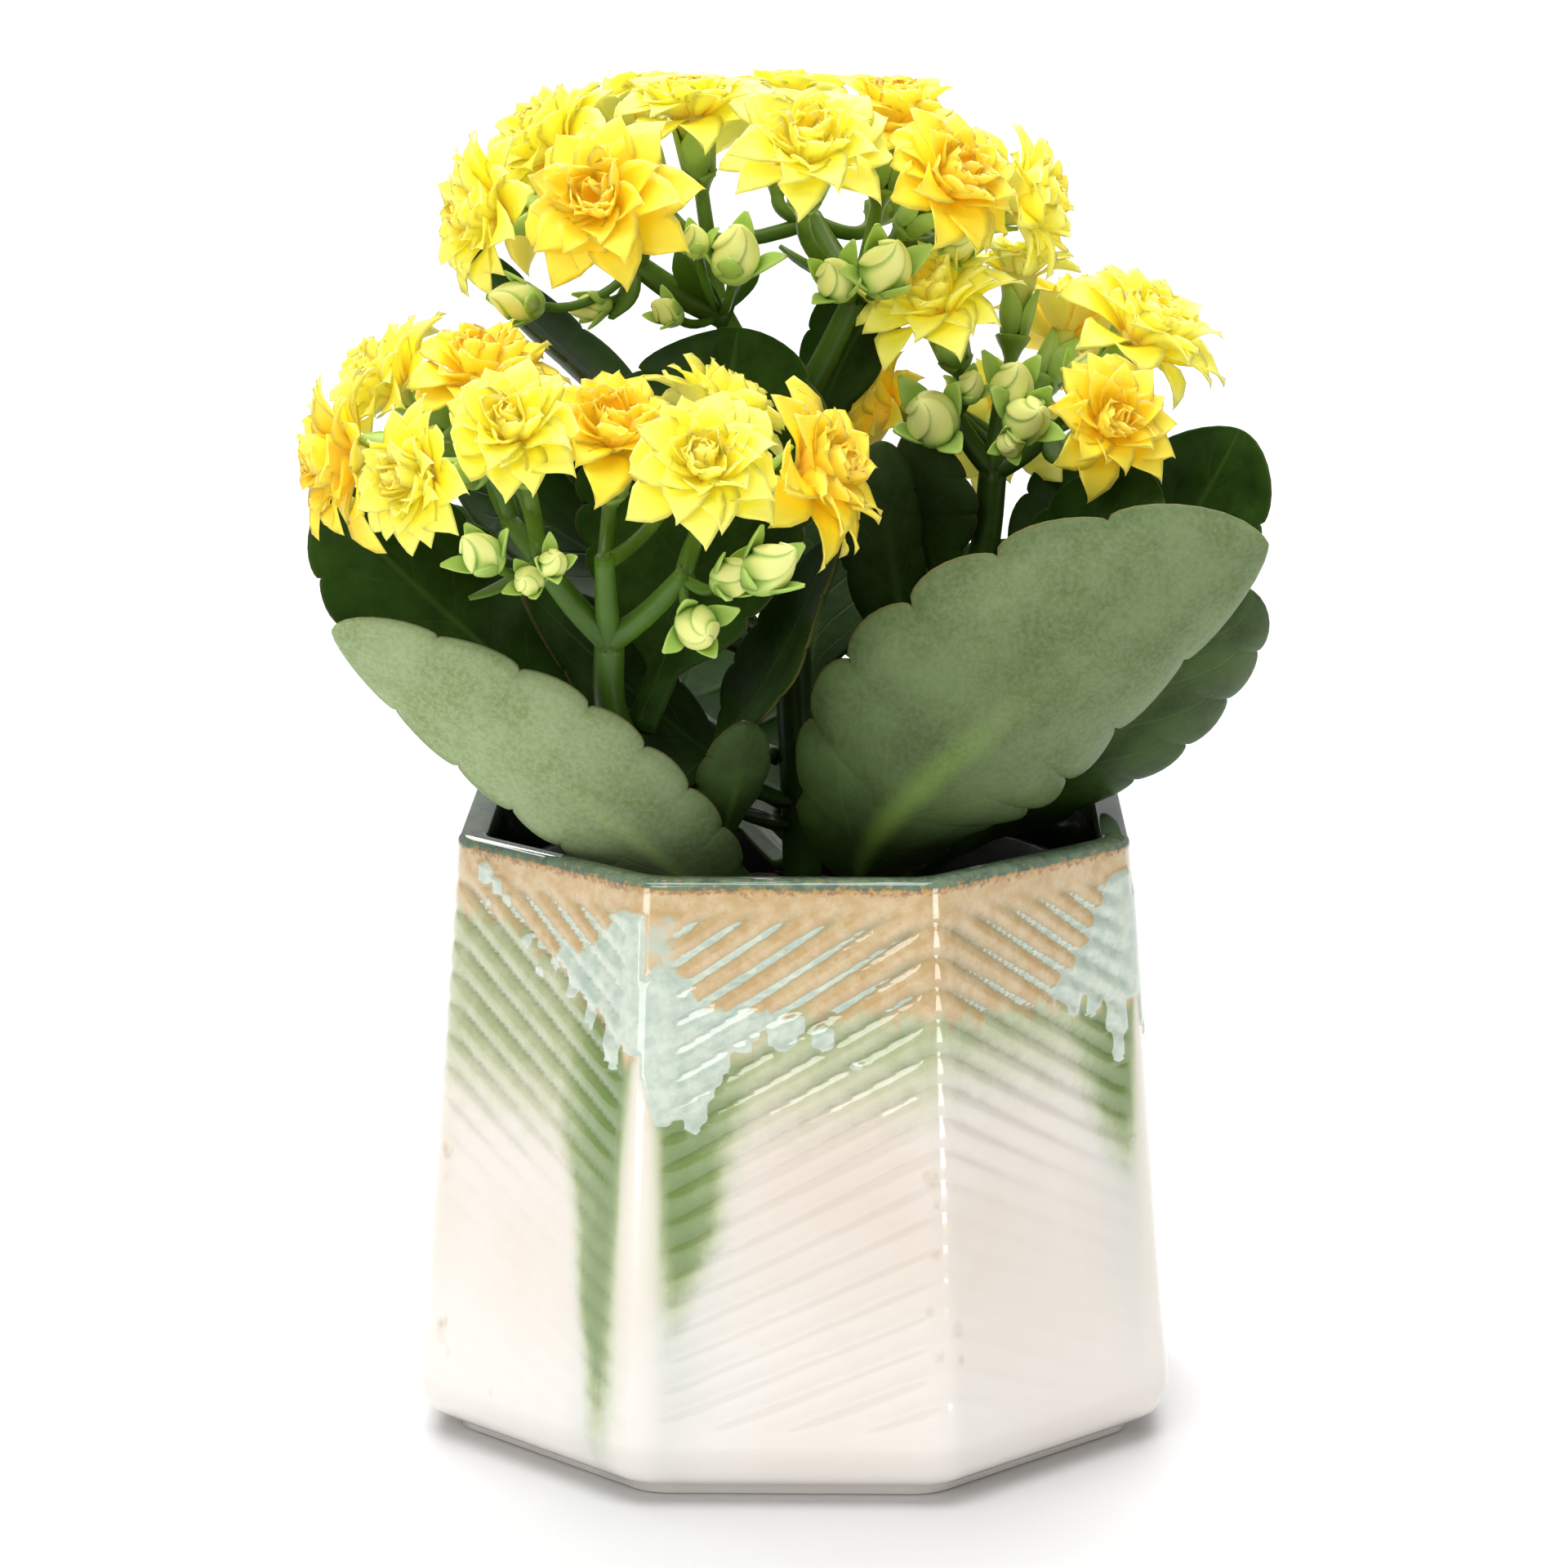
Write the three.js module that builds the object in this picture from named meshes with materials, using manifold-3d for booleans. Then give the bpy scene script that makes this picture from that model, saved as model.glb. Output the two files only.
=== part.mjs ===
// A potted double kalanchoe: a glazed eight-sided ceramic pot that holds a plastic nursery pot,
// its soil and three flowering cuttings with fleshy scalloped leaves and domes of double blooms.
// Millimetres, +Z up. The origin is the middle of the pot's flat underside and the pot's front
// face looks along -Y. Each separate piece is one named mesh.
import * as THREE from "three";
import { mergeVertices } from "three/addons/utils/BufferGeometryUtils.js";
import Module from "manifold-3d";

const wasm = await Module();
wasm.setup();

// ---------------------------------------------------------------- driving dimensions
const POT_SIDES = 8;
const POT_HEIGHT = 74.2;
const RIM_APOTHEM = 40.55;
const BELLY_APOTHEM = 46;
const BELLY_HEIGHT = 6.8;
const FOOT_APOTHEM = 41;
const FOOT_HEIGHT = 1.4;
const WALL = 4;
const POT_FLOOR = 5;
const CORNER_CUT = 1.5;
const FOOT_ROUNDING = [[3.6, 1.6], [1.2, 3.4]];
const LIP_ROUNDING = 0.9;
const FLOOR_ROUNDING = 4;

const GROOVE_PITCH = 3.8;
const GROOVE_WIDTH = 1.5;
const GROOVE_DEPTH = 0.6;
const GROOVE_LOW = 9;
const GROOVE_HIGH = 70.4;
const GROOVE_MARGIN = 2.6;
const GROOVE_SLOPE_LOW = 0.4;
const GROOVE_SLOPE_HIGH = 0.6;
const GROOVE_RELEASE = 0.2;
const SHORTEST_GROOVE = 3;
const CUT_PROUD = 0.4;

const GAP = 0.3;
const NURSERY_SIDES = 16;
const NURSERY_TOP_RADIUS = 34.4;
const NURSERY_BASE_RADIUS = 25;
const NURSERY_TOP = 66;
const NURSERY_WALL = 0.8;
const SOIL_TOP = 59;
const SOIL_ROUGHNESS = 1.6;

const PETAL_THICKNESS = 0.6;
const TUBE_LENGTH = 6.5;
const CALYX_RADIUS = 2.4;
const CALYX_LENGTH = 3;
const PEDICEL_RADIUS = 0.95;
const BRANCH_LAP = 0.8;
const BRANCH_SHARES = [0.72, 0.6];
const STALK_SIDES = 6;
const CALYX_SIDES = 4;
const BUD_SIDES = 5;
const BUD_SLIMNESS = 1.5;
const BUD_LIFT = 0.35;
const BUD_SHAPE = [[0.3, 0.92], [0.65, 0.96], [1, 0.14]];

const LEAF_RIB = 1.7;
const LEAF_EDGE = 0.7;
const PETIOLE_WIDTH = 4.4;
const PETIOLE_SHARE = 0.18;
const TWIST_SHARE = 0.16;
const SCALLOP_DEPTH = 0.11;
const WIDE_LEAF = 33;

const COLOURS = {
  glaze: 0xe6d9c8,
  nursery: 0x2b2b2b,
  soil: 0x33261c,
  stalk: 0x5f9436,
  leaf: 0x2f5a30,
  lemon: 0xf7e12b,
  amber: 0xf6b52a,
};

// ---------------------------------------------------------------- common forms
const vec = (x, y, z) => new THREE.Vector3(x, y, z);
const degrees = THREE.MathUtils.degToRad;
const mix = THREE.MathUtils.lerp;

// A repeatable draw between 0 and 1.
function seededRandom(seed) {
  let state = seed;
  return () => {
    state = (state * 1664525 + 1013904223) % 4294967296;
    return state / 4294967296;
  };
}

function bodyOf(points, index) {
  const geometry = new THREE.BufferGeometry().setFromPoints(points);
  geometry.setIndex(index);
  return solidOf(geometry);
}

function solidOf(geometry) {
  const bare = geometry.clone();
  bare.deleteAttribute("normal");
  bare.deleteAttribute("uv");
  const merged = mergeVertices(bare, 1e-4);
  const vertProperties = merged.attributes.position.array;
  const triVerts = new Uint32Array(merged.index.array);
  return new wasm.Manifold(new wasm.Mesh({ numProp: 3, vertProperties, triVerts }));
}

// Pairs are joined first, then pairs of pairs, which keeps each join small.
function fuse(solids) {
  let round = solids;
  while (round.length > 1) {
    const next = [];
    for (let i = 0; i < round.length; i += 2) {
      next.push(i + 1 < round.length ? round[i].add(round[i + 1]) : round[i]);
    }
    round = next;
  }
  return round[0];
}

// A closed body through equal rings of points, flat at its first and last ring.
function loft(rings) {
  const count = rings[0].length;
  const last = (rings.length - 1) * count;
  const index = [];
  for (let r = 0; r < last; r += count) {
    for (let i = 0; i < count; i++) {
      const j = (i + 1) % count;
      index.push(r + i, r + j, r + count + j);
      index.push(r + i, r + count + j, r + count + i);
    }
  }
  for (let i = 1; i + 1 < count; i++) {
    index.push(0, i + 1, i);
    index.push(last, last + i, last + i + 1);
  }
  return bodyOf(rings.flat(), index);
}

// A round stem through points, with its own radius at each one.
function stem(points, radii, sides) {
  const rings = [];
  let across = vec(1, 0.13, 0.07);
  points.forEach((point, i) => {
    const before = points[Math.max(i - 1, 0)];
    const after = points[Math.min(i + 1, points.length - 1)];
    const along = after.clone().sub(before).normalize();
    across = across.clone().addScaledVector(along, -across.dot(along)).normalize();
    const up = along.clone().cross(across);
    const ring = [];
    for (let k = 0; k < sides; k++) {
      const turn = (2 * Math.PI * k) / sides;
      ring.push(
        point
          .clone()
          .addScaledVector(across, radii[i] * Math.cos(turn))
          .addScaledVector(up, radii[i] * Math.sin(turn)),
      );
    }
    rings.push(ring);
  });
  return loft(rings);
}

// A thin blade: its upper and lower faces share one pattern of triangles.
function blade(upper, lower, faces) {
  const count = upper.length;
  const index = [];
  const edges = new Set();
  for (const [a, b, c] of faces) {
    index.push(a, b, c, count + c, count + b, count + a);
    edges.add(`${a} ${b}`).add(`${b} ${c}`).add(`${c} ${a}`);
  }
  for (const edge of edges) {
    const [p, q] = edge.split(" ").map(Number);
    if (edges.has(`${q} ${p}`)) continue;
    index.push(q, p, count + p, q, count + p, count + q);
  }
  return bodyOf([...upper, ...lower], index);
}

// ---------------------------------------------------------------- pot
// Slip-cast, with eight flat leaning faces, softened corners and a low foot.
function potRing(apothem, height, corner) {
  const ring = [];
  const half = apothem * Math.tan(Math.PI / POT_SIDES);
  const reach = Math.hypot(apothem, half - corner);
  const turn = Math.atan2(half - corner, apothem);
  for (let side = 0; side < POT_SIDES; side++) {
    const middle = (2 * Math.PI * side) / POT_SIDES - Math.PI / 2;
    for (const angle of [middle - turn, middle + turn]) {
      ring.push(vec(reach * Math.cos(angle), reach * Math.sin(angle), height));
    }
  }
  return ring;
}

const potLean = (BELLY_APOTHEM - RIM_APOTHEM) / (POT_HEIGHT - BELLY_HEIGHT);
const potApothem = (z) => BELLY_APOTHEM - (z - BELLY_HEIGHT) * potLean;

// Narrow grooves slant across each face. They start clear of one corner and run up to the next.
// Their slant turns over from face to face, so the relief is a herringbone round the pot.
function grooves() {
  const cuts = [];
  const cornerShare = Math.tan(Math.PI / POT_SIDES);
  const half = potApothem(POT_HEIGHT / 2) * cornerShare;
  const lowest = GROOVE_LOW - 2 * half * GROOVE_SLOPE_LOW;
  for (let side = 0; side < POT_SIDES; side++) {
    const facing = (2 * Math.PI * side) / POT_SIDES;
    const hand = side % 2 === 0 ? 1 : -1;
    for (let z = lowest; z < GROOVE_HIGH; z += GROOVE_PITCH) {
      const slope = mix(GROOVE_SLOPE_LOW, GROOVE_SLOPE_HIGH, Math.max(z, 0) / POT_HEIGHT);
      const height = (x) => z + (x + half) * slope;
      const reach = (h) => (h - z) / slope - half;
      const edge = potApothem(height(half)) * cornerShare - CORNER_CUT - GROOVE_RELEASE;
      const from = Math.max(-half + GROOVE_MARGIN, reach(GROOVE_LOW));
      const to = Math.min(edge, reach(GROOVE_HIGH));
      if (to - from < SHORTEST_GROOVE) continue;
      cuts.push(groove(facing, hand, from, to, height));
    }
  }
  return fuse(cuts);
}

function groove(facing, hand, from, to, height) {
  const place = (x, z, out) => {
    const apothem = potApothem(z) + out;
    const across = x * hand;
    return vec(
      apothem * Math.sin(facing) + across * Math.cos(facing),
      -apothem * Math.cos(facing) + across * Math.sin(facing),
      z,
    );
  };
  const ring = (x) => {
    const z = height(x);
    const points = [
      place(x, z, -GROOVE_DEPTH),
      place(x, z + GROOVE_WIDTH / 2, CUT_PROUD),
      place(x, z - GROOVE_WIDTH / 2, CUT_PROUD),
    ];
    return hand > 0 ? points : points.reverse();
  };
  return loft([ring(from), ring(to)]);
}

function pot() {
  const inner = (z) => potApothem(z) - WALL;
  const body = loft([
    potRing(FOOT_APOTHEM, 0, CORNER_CUT),
    potRing(FOOT_APOTHEM, FOOT_HEIGHT, CORNER_CUT),
    ...FOOT_ROUNDING.map(([inset, z]) => potRing(BELLY_APOTHEM - inset, z, CORNER_CUT)),
    potRing(BELLY_APOTHEM, BELLY_HEIGHT, CORNER_CUT),
    potRing(potApothem(POT_HEIGHT - LIP_ROUNDING), POT_HEIGHT - LIP_ROUNDING, CORNER_CUT),
    potRing(RIM_APOTHEM - LIP_ROUNDING, POT_HEIGHT, CORNER_CUT),
    potRing(inner(POT_HEIGHT) + LIP_ROUNDING, POT_HEIGHT, CORNER_CUT),
    potRing(inner(POT_HEIGHT), POT_HEIGHT - LIP_ROUNDING, CORNER_CUT),
    potRing(inner(POT_FLOOR + FLOOR_ROUNDING), POT_FLOOR + FLOOR_ROUNDING, CORNER_CUT),
    potRing(inner(POT_FLOOR) - FLOOR_ROUNDING, POT_FLOOR, CORNER_CUT),
  ]);
  return body.subtract(grooves());
}

// ---------------------------------------------------------------- nursery pot and soil
const nurserySlope = (NURSERY_TOP_RADIUS - NURSERY_BASE_RADIUS) / (NURSERY_TOP - POT_FLOOR);
const nurseryRadius = (z) => NURSERY_BASE_RADIUS + (z - POT_FLOOR) * nurserySlope;

function upright(geometry) {
  geometry.rotateX(Math.PI / 2);
  return solidOf(geometry);
}

// Thin moulded plastic with a rolled-out lip.
function nurseryPot() {
  const base = POT_FLOOR + GAP;
  const profile = [
    [0, base],
    [nurseryRadius(base), base],
    [nurseryRadius(NURSERY_TOP - 3), NURSERY_TOP - 3],
    [NURSERY_TOP_RADIUS + 0.9, NURSERY_TOP - 3],
    [NURSERY_TOP_RADIUS + 0.9, NURSERY_TOP],
    [NURSERY_TOP_RADIUS - NURSERY_WALL, NURSERY_TOP],
    [nurseryRadius(base + NURSERY_WALL) - NURSERY_WALL, base + NURSERY_WALL],
    [0, base + NURSERY_WALL],
  ].map(([r, z]) => new THREE.Vector2(r, z));
  return upright(new THREE.LatheGeometry(profile, NURSERY_SIDES));
}

// Peat mix with a crumbly top. Each cutting stands in a plain hole in it.
function soil() {
  const random = seededRandom(11);
  const base = POT_FLOOR + GAP + NURSERY_WALL + GAP;
  const outer = (z) => nurseryRadius(z) - NURSERY_WALL - GAP;
  const level = () => 0;
  const lump = () => SOIL_ROUGHNESS * (random() - 0.4);
  const shoulder = SOIL_TOP - 2;
  const rings = [circle(outer(base) - 2 * GAP, base, level)];
  rings.push(circle(outer(shoulder) - 2 * GAP, shoulder, level));
  for (const share of [0.8, 0.55, 0.3]) rings.push(circle(outer(SOIL_TOP) * share, SOIL_TOP, lump));
  return loft(rings).subtract(fuse(STALKS.map(stemHole)));
}

function circle(radius, z, lump) {
  const ring = [];
  for (let i = 0; i < NURSERY_SIDES; i++) {
    const turn = (2 * Math.PI * (i + 0.5)) / NURSERY_SIDES;
    ring.push(vec(radius * Math.cos(turn), radius * Math.sin(turn), z + lump()));
  }
  return ring;
}

function stemHole(stalk) {
  const axis = stemAxis(stalk).slice(0, 3);
  axis[0].z -= GAP;
  return stem(axis, axis.map(() => stalk.radius + 1.2 * GAP), STALK_SIDES);
}

// ---------------------------------------------------------------- the three cuttings
// Each stalk rises from the soil along its path and forks at its crown into branches. A branch
// listed under via leaves another branch's end. Branches carry the pedicels, each with a calyx,
// and the buds.
const STALKS = [
  {
    name: "stalk_front",
    radius: 2.1,
    path: [
      [-8, -14, 51], [-8.5, -14, 59], [-11, -16.5, 69], [-17, -21, 81], [-21.2, -25, 91],
      [-21.3, -28, 100],
    ],
    forks: {
      left: [-29, -32, 110],
      middle: [-21.5, -33, 110],
      right: [-12.5, -33, 108.5],
      far: [-33, -22, 113],
    },
    via: {},
  },
  {
    name: "stalk_back",
    radius: 2.4,
    path: [[1, 2, 51], [1, 2, 59], [0.5, 3, 75], [-0.5, 3.5, 95], [-1, 3.5, 110], [-1, 3, 121]],
    forks: {
      left: [-9, 2, 135],
      right: [7.5, 0.5, 138],
      left_out: [-19, 0, 141],
      right_out: [17, 1, 143.5],
      rear: [2, 13, 145],
    },
    via: { left_out: "left", right_out: "right", rear: "right" },
  },
  {
    name: "stalk_right",
    radius: 2,
    path: [[12, 0, 51], [12, 0, 59], [15, 1, 75], [20, 2, 93], [23, 2.5, 106], [24, 2, 116]],
    forks: {
      left: [19, 2, 123],
      middle: [25, 1, 125],
      right: [31, 2, 121],
    },
    via: {},
  },
];

// A bloom: its stalk and fork, its middle, the compass turn and the lean from upright that it
// faces, its width across the petals, how far it is open, and its colour.
const BLOOMS = [
  ["back", "left", [-12.4, 1, 158.5], -20, 18, 18, 1, "lemon"],
  ["back", "left_out", [-21.6, -16, 149.5], -20, 66, 19.5, 1, "amber"],
  ["back", "right", [1.7, -14, 154.6], 6, 44, 19, 1, "lemon"],
  ["back", "right", [11.5, 6, 156.5], 40, 16, 18, 1, "amber"],
  ["back", "right_out", [17.5, -7, 150.5], 45, 52, 18, 1, "amber"],
  ["back", "right_out", [26, 4, 147.5], 82, 74, 18, 1, "lemon"],
  ["back", "left_out", [-28.5, 5, 154], -60, 42, 17.5, 1, "lemon"],
  ["back", "left_out", [-35, -4, 147.5], -68, 84, 18, 1, "lemon"],
  ["back", "rear", [-20, 17, 155.5], -140, 34, 18, 1, "lemon"],
  ["back", "rear", [-2, 18, 156.5], 175, 30, 18, 1, "lemon"],
  ["back", "rear", [13, 21, 150], 150, 55, 18, 1, "amber"],
  ["back", "left_out", [-32, 20, 147], -125, 66, 18, 1, "amber"],
  ["front", "far", [-50, -27, 121.5], -72, 92, 19, 1, "amber"],
  ["front", "far", [-46.5, -13.5, 127.5], -70, 50, 17.5, 1, "lemon"],
  ["front", "far", [-36, -20, 128.5], -10, 14, 18, 1, "amber"],
  ["front", "left", [-41.5, -36, 120.5], -44, 88, 16.5, 0.9, "lemon"],
  ["front", "left", [-31.5, -37, 125], -8, 48, 16.5, 1, "lemon"],
  ["front", "middle", [-20.5, -31.5, 123.5], 8, 34, 17.5, 1, "amber"],
  ["front", "right", [-9.8, -39, 121.5], 4, 56, 17.5, 1, "lemon"],
  ["front", "right", [1.2, -31, 119.5], 66, 68, 20, 1, "amber"],
  ["front", "middle", [-9.5, -22, 124.5], 120, 34, 16.5, 1, "lemon"],
  ["right", "left", [17.3, -3.5, 135.5], -30, 34, 18, 1, "lemon"],
  ["right", "right", [41, 1, 131.5], 62, 38, 19, 1, "lemon"],
  ["right", "right", [36.8, -11, 122.8], 24, 66, 15.5, 0.9, "amber"],
  ["right", "middle", [27, 8, 138.5], 150, 10, 12, 0.7, "lemon"],
  ["right", "left", [12, 10.5, 122], -80, 74, 15.5, 1, "amber"],
  ["right", "left", [25, 18.5, 119], 175, 86, 16, 1, "lemon"],
  ["right", "middle", [33, 18, 129.5], 150, 50, 18, 1, "amber"],
];

// A bud: its stalk and fork, its tip, and its thickness.
const BUDS = [
  ["front", "left", [-37, -43, 114.5], 4.8],
  ["front", "left", [-30.5, -40, 109.5], 3.6],
  ["front", "right", [-9.5, -44, 103.5], 5.2],
  ["front", "right", [0.5, -44, 113.5], 5.8],
  ["front", "right", [-4.5, -42, 111.5], 4.6],
  ["front", "left", [-26.5, -42, 112.5], 3.4],
  ["back", "left_out", [-36, -12, 138.5], 5],
  ["back", "left_out", [-27, -3, 135.5], 3.6],
  ["back", "left", [-6.5, -14, 147], 6],
  ["back", "left", [-12, -13, 147], 3.4],
  ["back", "right", [12, -13, 145], 6.4],
  ["back", "right", [4, -12, 142.5], 5],
  ["back", "left", [-17, -6, 137], 3.4],
  ["back", "right_out", [21, -5, 145], 4],
  ["right", "left", [15, -11, 126], 6.6],
  ["right", "middle", [26.5, -8, 130], 5.4],
  ["right", "middle", [29, -12, 125], 5.6],
  ["right", "left", [21.5, -7, 129], 3.6],
  ["right", "middle", [26, -11, 120.5], 3.4],
  ["right", "right", [35.5, -3, 131], 4.4],
];

// A leaf: its name, its stalk, the height at which it leaves the stem, the bow and the tip of
// its midrib, its roll about the midrib, its width, how much its margins rise, its scallops.
const LEAVES = [
  ["front_right", "right", 62, [-5, -46, 78], [55, -28, 112], -52, 34, 0.5, 6],
  ["front_left", "front", 62, [-1, -38, 69], [-53.5, -28, 101.5], 60, 20, 0.3, 7],
  ["left_low", "back", 72, [-28, -9, 82], [-51.5, -12, 102], -30, 22, 0.2, 4],
  ["left", "front", 87, [-36.5, -17, 95], [-56, -11.5, 114], -41, 24, 0.12, 5],
  ["left_inner", "back", 92, [-22, 6.5, 102], [-42, 3.5, 115.5], -30, 22, 0.2, 4],
  ["centre_left", "back", 75, [-13.5, -7, 82], [-32, -18, 104], -44, 21.5, 0.1, 5],
  ["centre_tall", "front", 87, [-10, -14, 106], [-6.5, -6, 134], 5, 36, 0.2, 6],
  ["centre_small", "back", 95, [-19, 2, 107], [-29, -1, 124.5], -50, 14, 0.15, 3],
  ["upper_left", "back", 109, [-21, 11, 120], [-41.5, 6, 142], -8, 18, 0.25, 4],
  ["upper_right", "back", 115, [5, 10, 128], [13, 9, 140], 30, 15, 0.2, 3],
  ["right_arched", "right", 89, [31, -12, 110.5], [44, -15, 114], 38, 23, 0.2, 4],
  ["right_rear", "right", 80, [42, 2, 94], [54.5, 8, 120], 45, 25, 0.2, 4],
  ["right_far", "right", 97, [34, 16, 103], [44, 22, 118], 30, 18, 0.2, 3],
  ["right_low", "right", 67, [36, -6, 81], [54, -14, 104], -52, 27, 0.35, 5],
  ["right_narrow", "right", 86, [10, -8, 104], [10.5, -10, 121], 60, 12, 0.2, 3],
  ["right_inner", "right", 99, [16, 3, 108], [15, 0, 121], 10, 15, 0.2, 3],
  ["centre", "front", 79, [-2, -19, 90], [5, -15, 110], 0, 25, 0.15, 4],
  ["centre_low", "front", 72, [-6.5, -27, 80], [-5.5, -31, 91], 0, 9, 0.2, 3],
  ["rear_left", "back", 66, [-14, 28, 72], [-30, 44, 98], 0, 34, 0.3, 5],
  ["rear_right", "back", 68, [18, 30, 74], [30, 46, 100], 0, 34, 0.3, 5],
  ["rear_far_right", "right", 76, [36, 18, 84], [53, 27, 104], 0, 26, 0.3, 4],
  ["rear_upper_left", "back", 98, [-12, 21, 106], [-25, 31, 121], 0, 25, 0.25, 4],
  ["rear_upper_right", "back", 84, [4, 24, 98], [5, 37, 115], 0, 24, 0.25, 4],
  ["rear_far_left", "back", 80, [-28, 14, 88], [-49, 24, 108], 0, 26, 0.3, 4],
];

// A bract: a small plain leaf on the flower stalk, with its fork, its tip and its width.
const BRACTS = [
  ["back", "left", [-14, -5, 143], 5.5],
  ["back", "left", [-4.5, -1, 141.5], 4.5],
  ["back", "left_out", [-22, -2, 134.5], 4.5],
  ["back", "right", [-2, -3, 143], 4.5],
  ["right", "right", [33, -6, 117], 4.5],
  ["front", "left", [-37, -33, 105.5], 4],
];

const byName = Object.fromEntries(STALKS.map((stalk) => [stalk.name, stalk]));
const stemAxis = (stalk) => stalk.path.map((point) => vec(...point));
const forkOf = (stalk, fork) => vec(...stalk.forks[fork]);

function facingOf(turn, lean) {
  const around = degrees(turn);
  const down = degrees(lean);
  const level = Math.sin(down);
  return vec(level * Math.sin(around), -level * Math.cos(around), Math.cos(down));
}

const rows = BLOOMS.map(([stalk, fork, at, turn, lean, width, open, colour], i) => {
  const facing = facingOf(turn, lean);
  const middle = vec(...at);
  return {
    name: `bloom_${stalk}_${String(i + 1).padStart(2, "0")}`,
    stalk: byName[`stalk_${stalk}`],
    fork,
    middle,
    facing,
    width,
    open,
    colour,
    heart: middle.clone().addScaledVector(facing, 2.2),
    foot: middle.clone().addScaledVector(facing, -TUBE_LENGTH),
  };
});

// The route of a pedicel: it leaves its fork outwards and comes up behind the flower.
function route(from, to, arrival, steps) {
  const reach = from.distanceTo(to);
  const bend = to.clone().addScaledVector(arrival, -0.5 * reach);
  return new THREE.QuadraticBezierCurve3(from, bend, to).getPoints(steps);
}

function pedicelOf(row) {
  const from = forkOf(row.stalk, row.fork);
  const end = row.foot.clone().addScaledVector(row.facing, -GAP - CALYX_LENGTH);
  const points = route(from, end, row.facing, 2);
  const radii = points.map(() => PEDICEL_RADIUS);
  points.push(end.clone().addScaledVector(row.facing, CALYX_LENGTH));
  radii.push(CALYX_RADIUS);
  return { points, radii };
}

function budOf([stalk, fork, at, width]) {
  const owner = byName[`stalk_${stalk}`];
  const from = forkOf(owner, fork);
  const tip = vec(...at);
  const out = tip.clone().sub(from).normalize();
  out.z += BUD_LIFT;
  out.normalize();
  const length = BUD_SLIMNESS * width;
  const base = tip.clone().addScaledVector(out, -length);
  const points = route(from, base, out, 1);
  const radii = points.map(() => 0.8 * PEDICEL_RADIUS);
  for (const [share, radius] of BUD_SHAPE) {
    points.push(base.clone().addScaledVector(out, length * share));
    radii.push((width / 2) * radius);
  }
  return { owner, points, radii };
}

const pedicels = rows.map(pedicelOf);
const buds = BUDS.map(budOf);

function stalkBody(stalk) {
  const axis = stemAxis(stalk);
  const crown = axis[axis.length - 1];
  const bodies = [stem(axis, axis.map(() => stalk.radius), STALK_SIDES)];
  for (const fork of Object.keys(stalk.forks)) {
    const start = stalk.via[fork] ? forkOf(stalk, stalk.via[fork]) : crown;
    const end = forkOf(stalk, fork);
    const over = end.clone().sub(start).normalize();
    const line = [
      start.clone().addScaledVector(over, -BRANCH_LAP),
      end.clone().addScaledVector(over, BRANCH_LAP),
    ];
    bodies.push(stem(line, BRANCH_SHARES.map((share) => share * stalk.radius), BUD_SIDES));
  }
  rows.forEach((row, i) => {
    if (row.stalk === stalk) bodies.push(stem(pedicels[i].points, pedicels[i].radii, CALYX_SIDES));
  });
  for (const bud of buds) {
    if (bud.owner === stalk) bodies.push(stem(bud.points, bud.radii, BUD_SIDES));
  }
  for (const bract of BRACTS) {
    if (byName[`stalk_${bract[0]}`] === stalk) bodies.push(bractBlade(stalk, bract));
  }
  return fuse(bodies);
}

function bractBlade(stalk, [, fork, at, width]) {
  const from = forkOf(stalk, fork);
  const along = vec(...at).sub(from);
  const across = vec(along.y, -along.x, 0).normalize();
  const up = along.clone().cross(across).normalize();
  const outline = [[0, 0], [-0.5, 0.55], [-0.36, 0.86], [0, 1], [0.36, 0.86], [0.5, 0.55]];
  const [upper, lower] = [0.5, -0.5].map((face) =>
    outline.map(([side, reach]) =>
      from
        .clone()
        .addScaledVector(along, reach)
        .addScaledVector(across, side * width)
        .addScaledVector(up, face),
    ),
  );
  return blade(upper, lower, [[0, 1, 5], [1, 2, 5], [2, 4, 5], [2, 3, 4]]);
}

// ---------------------------------------------------------------- blooms
// A short tube opens into six spread petals, six rising ones between them and a closed heart.
// Neighbouring petals overlap at their sides, so each whorl is one leaf of material with a point
// for each petal. A petal that would touch a neighbour is folded up until it is clear.
const WHORL_PETALS = 6;
const BLOOM_TURN = 17;
const SHORTEST_PETAL = 0.35;
const TUBE_RADII = [1.7, 2.2];
const OUTER = { tip: 1, notch: 0.8, lean: 84, notchLift: 5, closest: 34 };
const INNER = { tip: 0.72, notch: 0.5, lean: 52, notchLift: 6, closest: 20 };

function greenSpheres(skip) {
  const spheres = [];
  pedicels.forEach((pedicel, i) => {
    if (i === skip) return;
    pedicel.points.forEach((point, k) => {
      spheres.push({ point, radius: pedicel.radii[k] });
      if (k === 0) return;
      for (const share of [0.2, 0.4, 0.6, 0.8]) {
        const between = point.clone().lerp(pedicel.points[k - 1], share);
        spheres.push({ point: between, radius: mix(pedicel.radii[k], pedicel.radii[k - 1], share) });
      }
    });
    for (const share of [0.2, 0.5, 0.8]) {
      const point = rows[i].foot.clone().lerp(rows[i].middle, share);
      spheres.push({ point, radius: CALYX_RADIUS });
    }
  });
  for (const bud of buds) {
    bud.points.forEach((point, k) => spheres.push({ point, radius: bud.radii[k] }));
  }
  return spheres;
}

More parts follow.
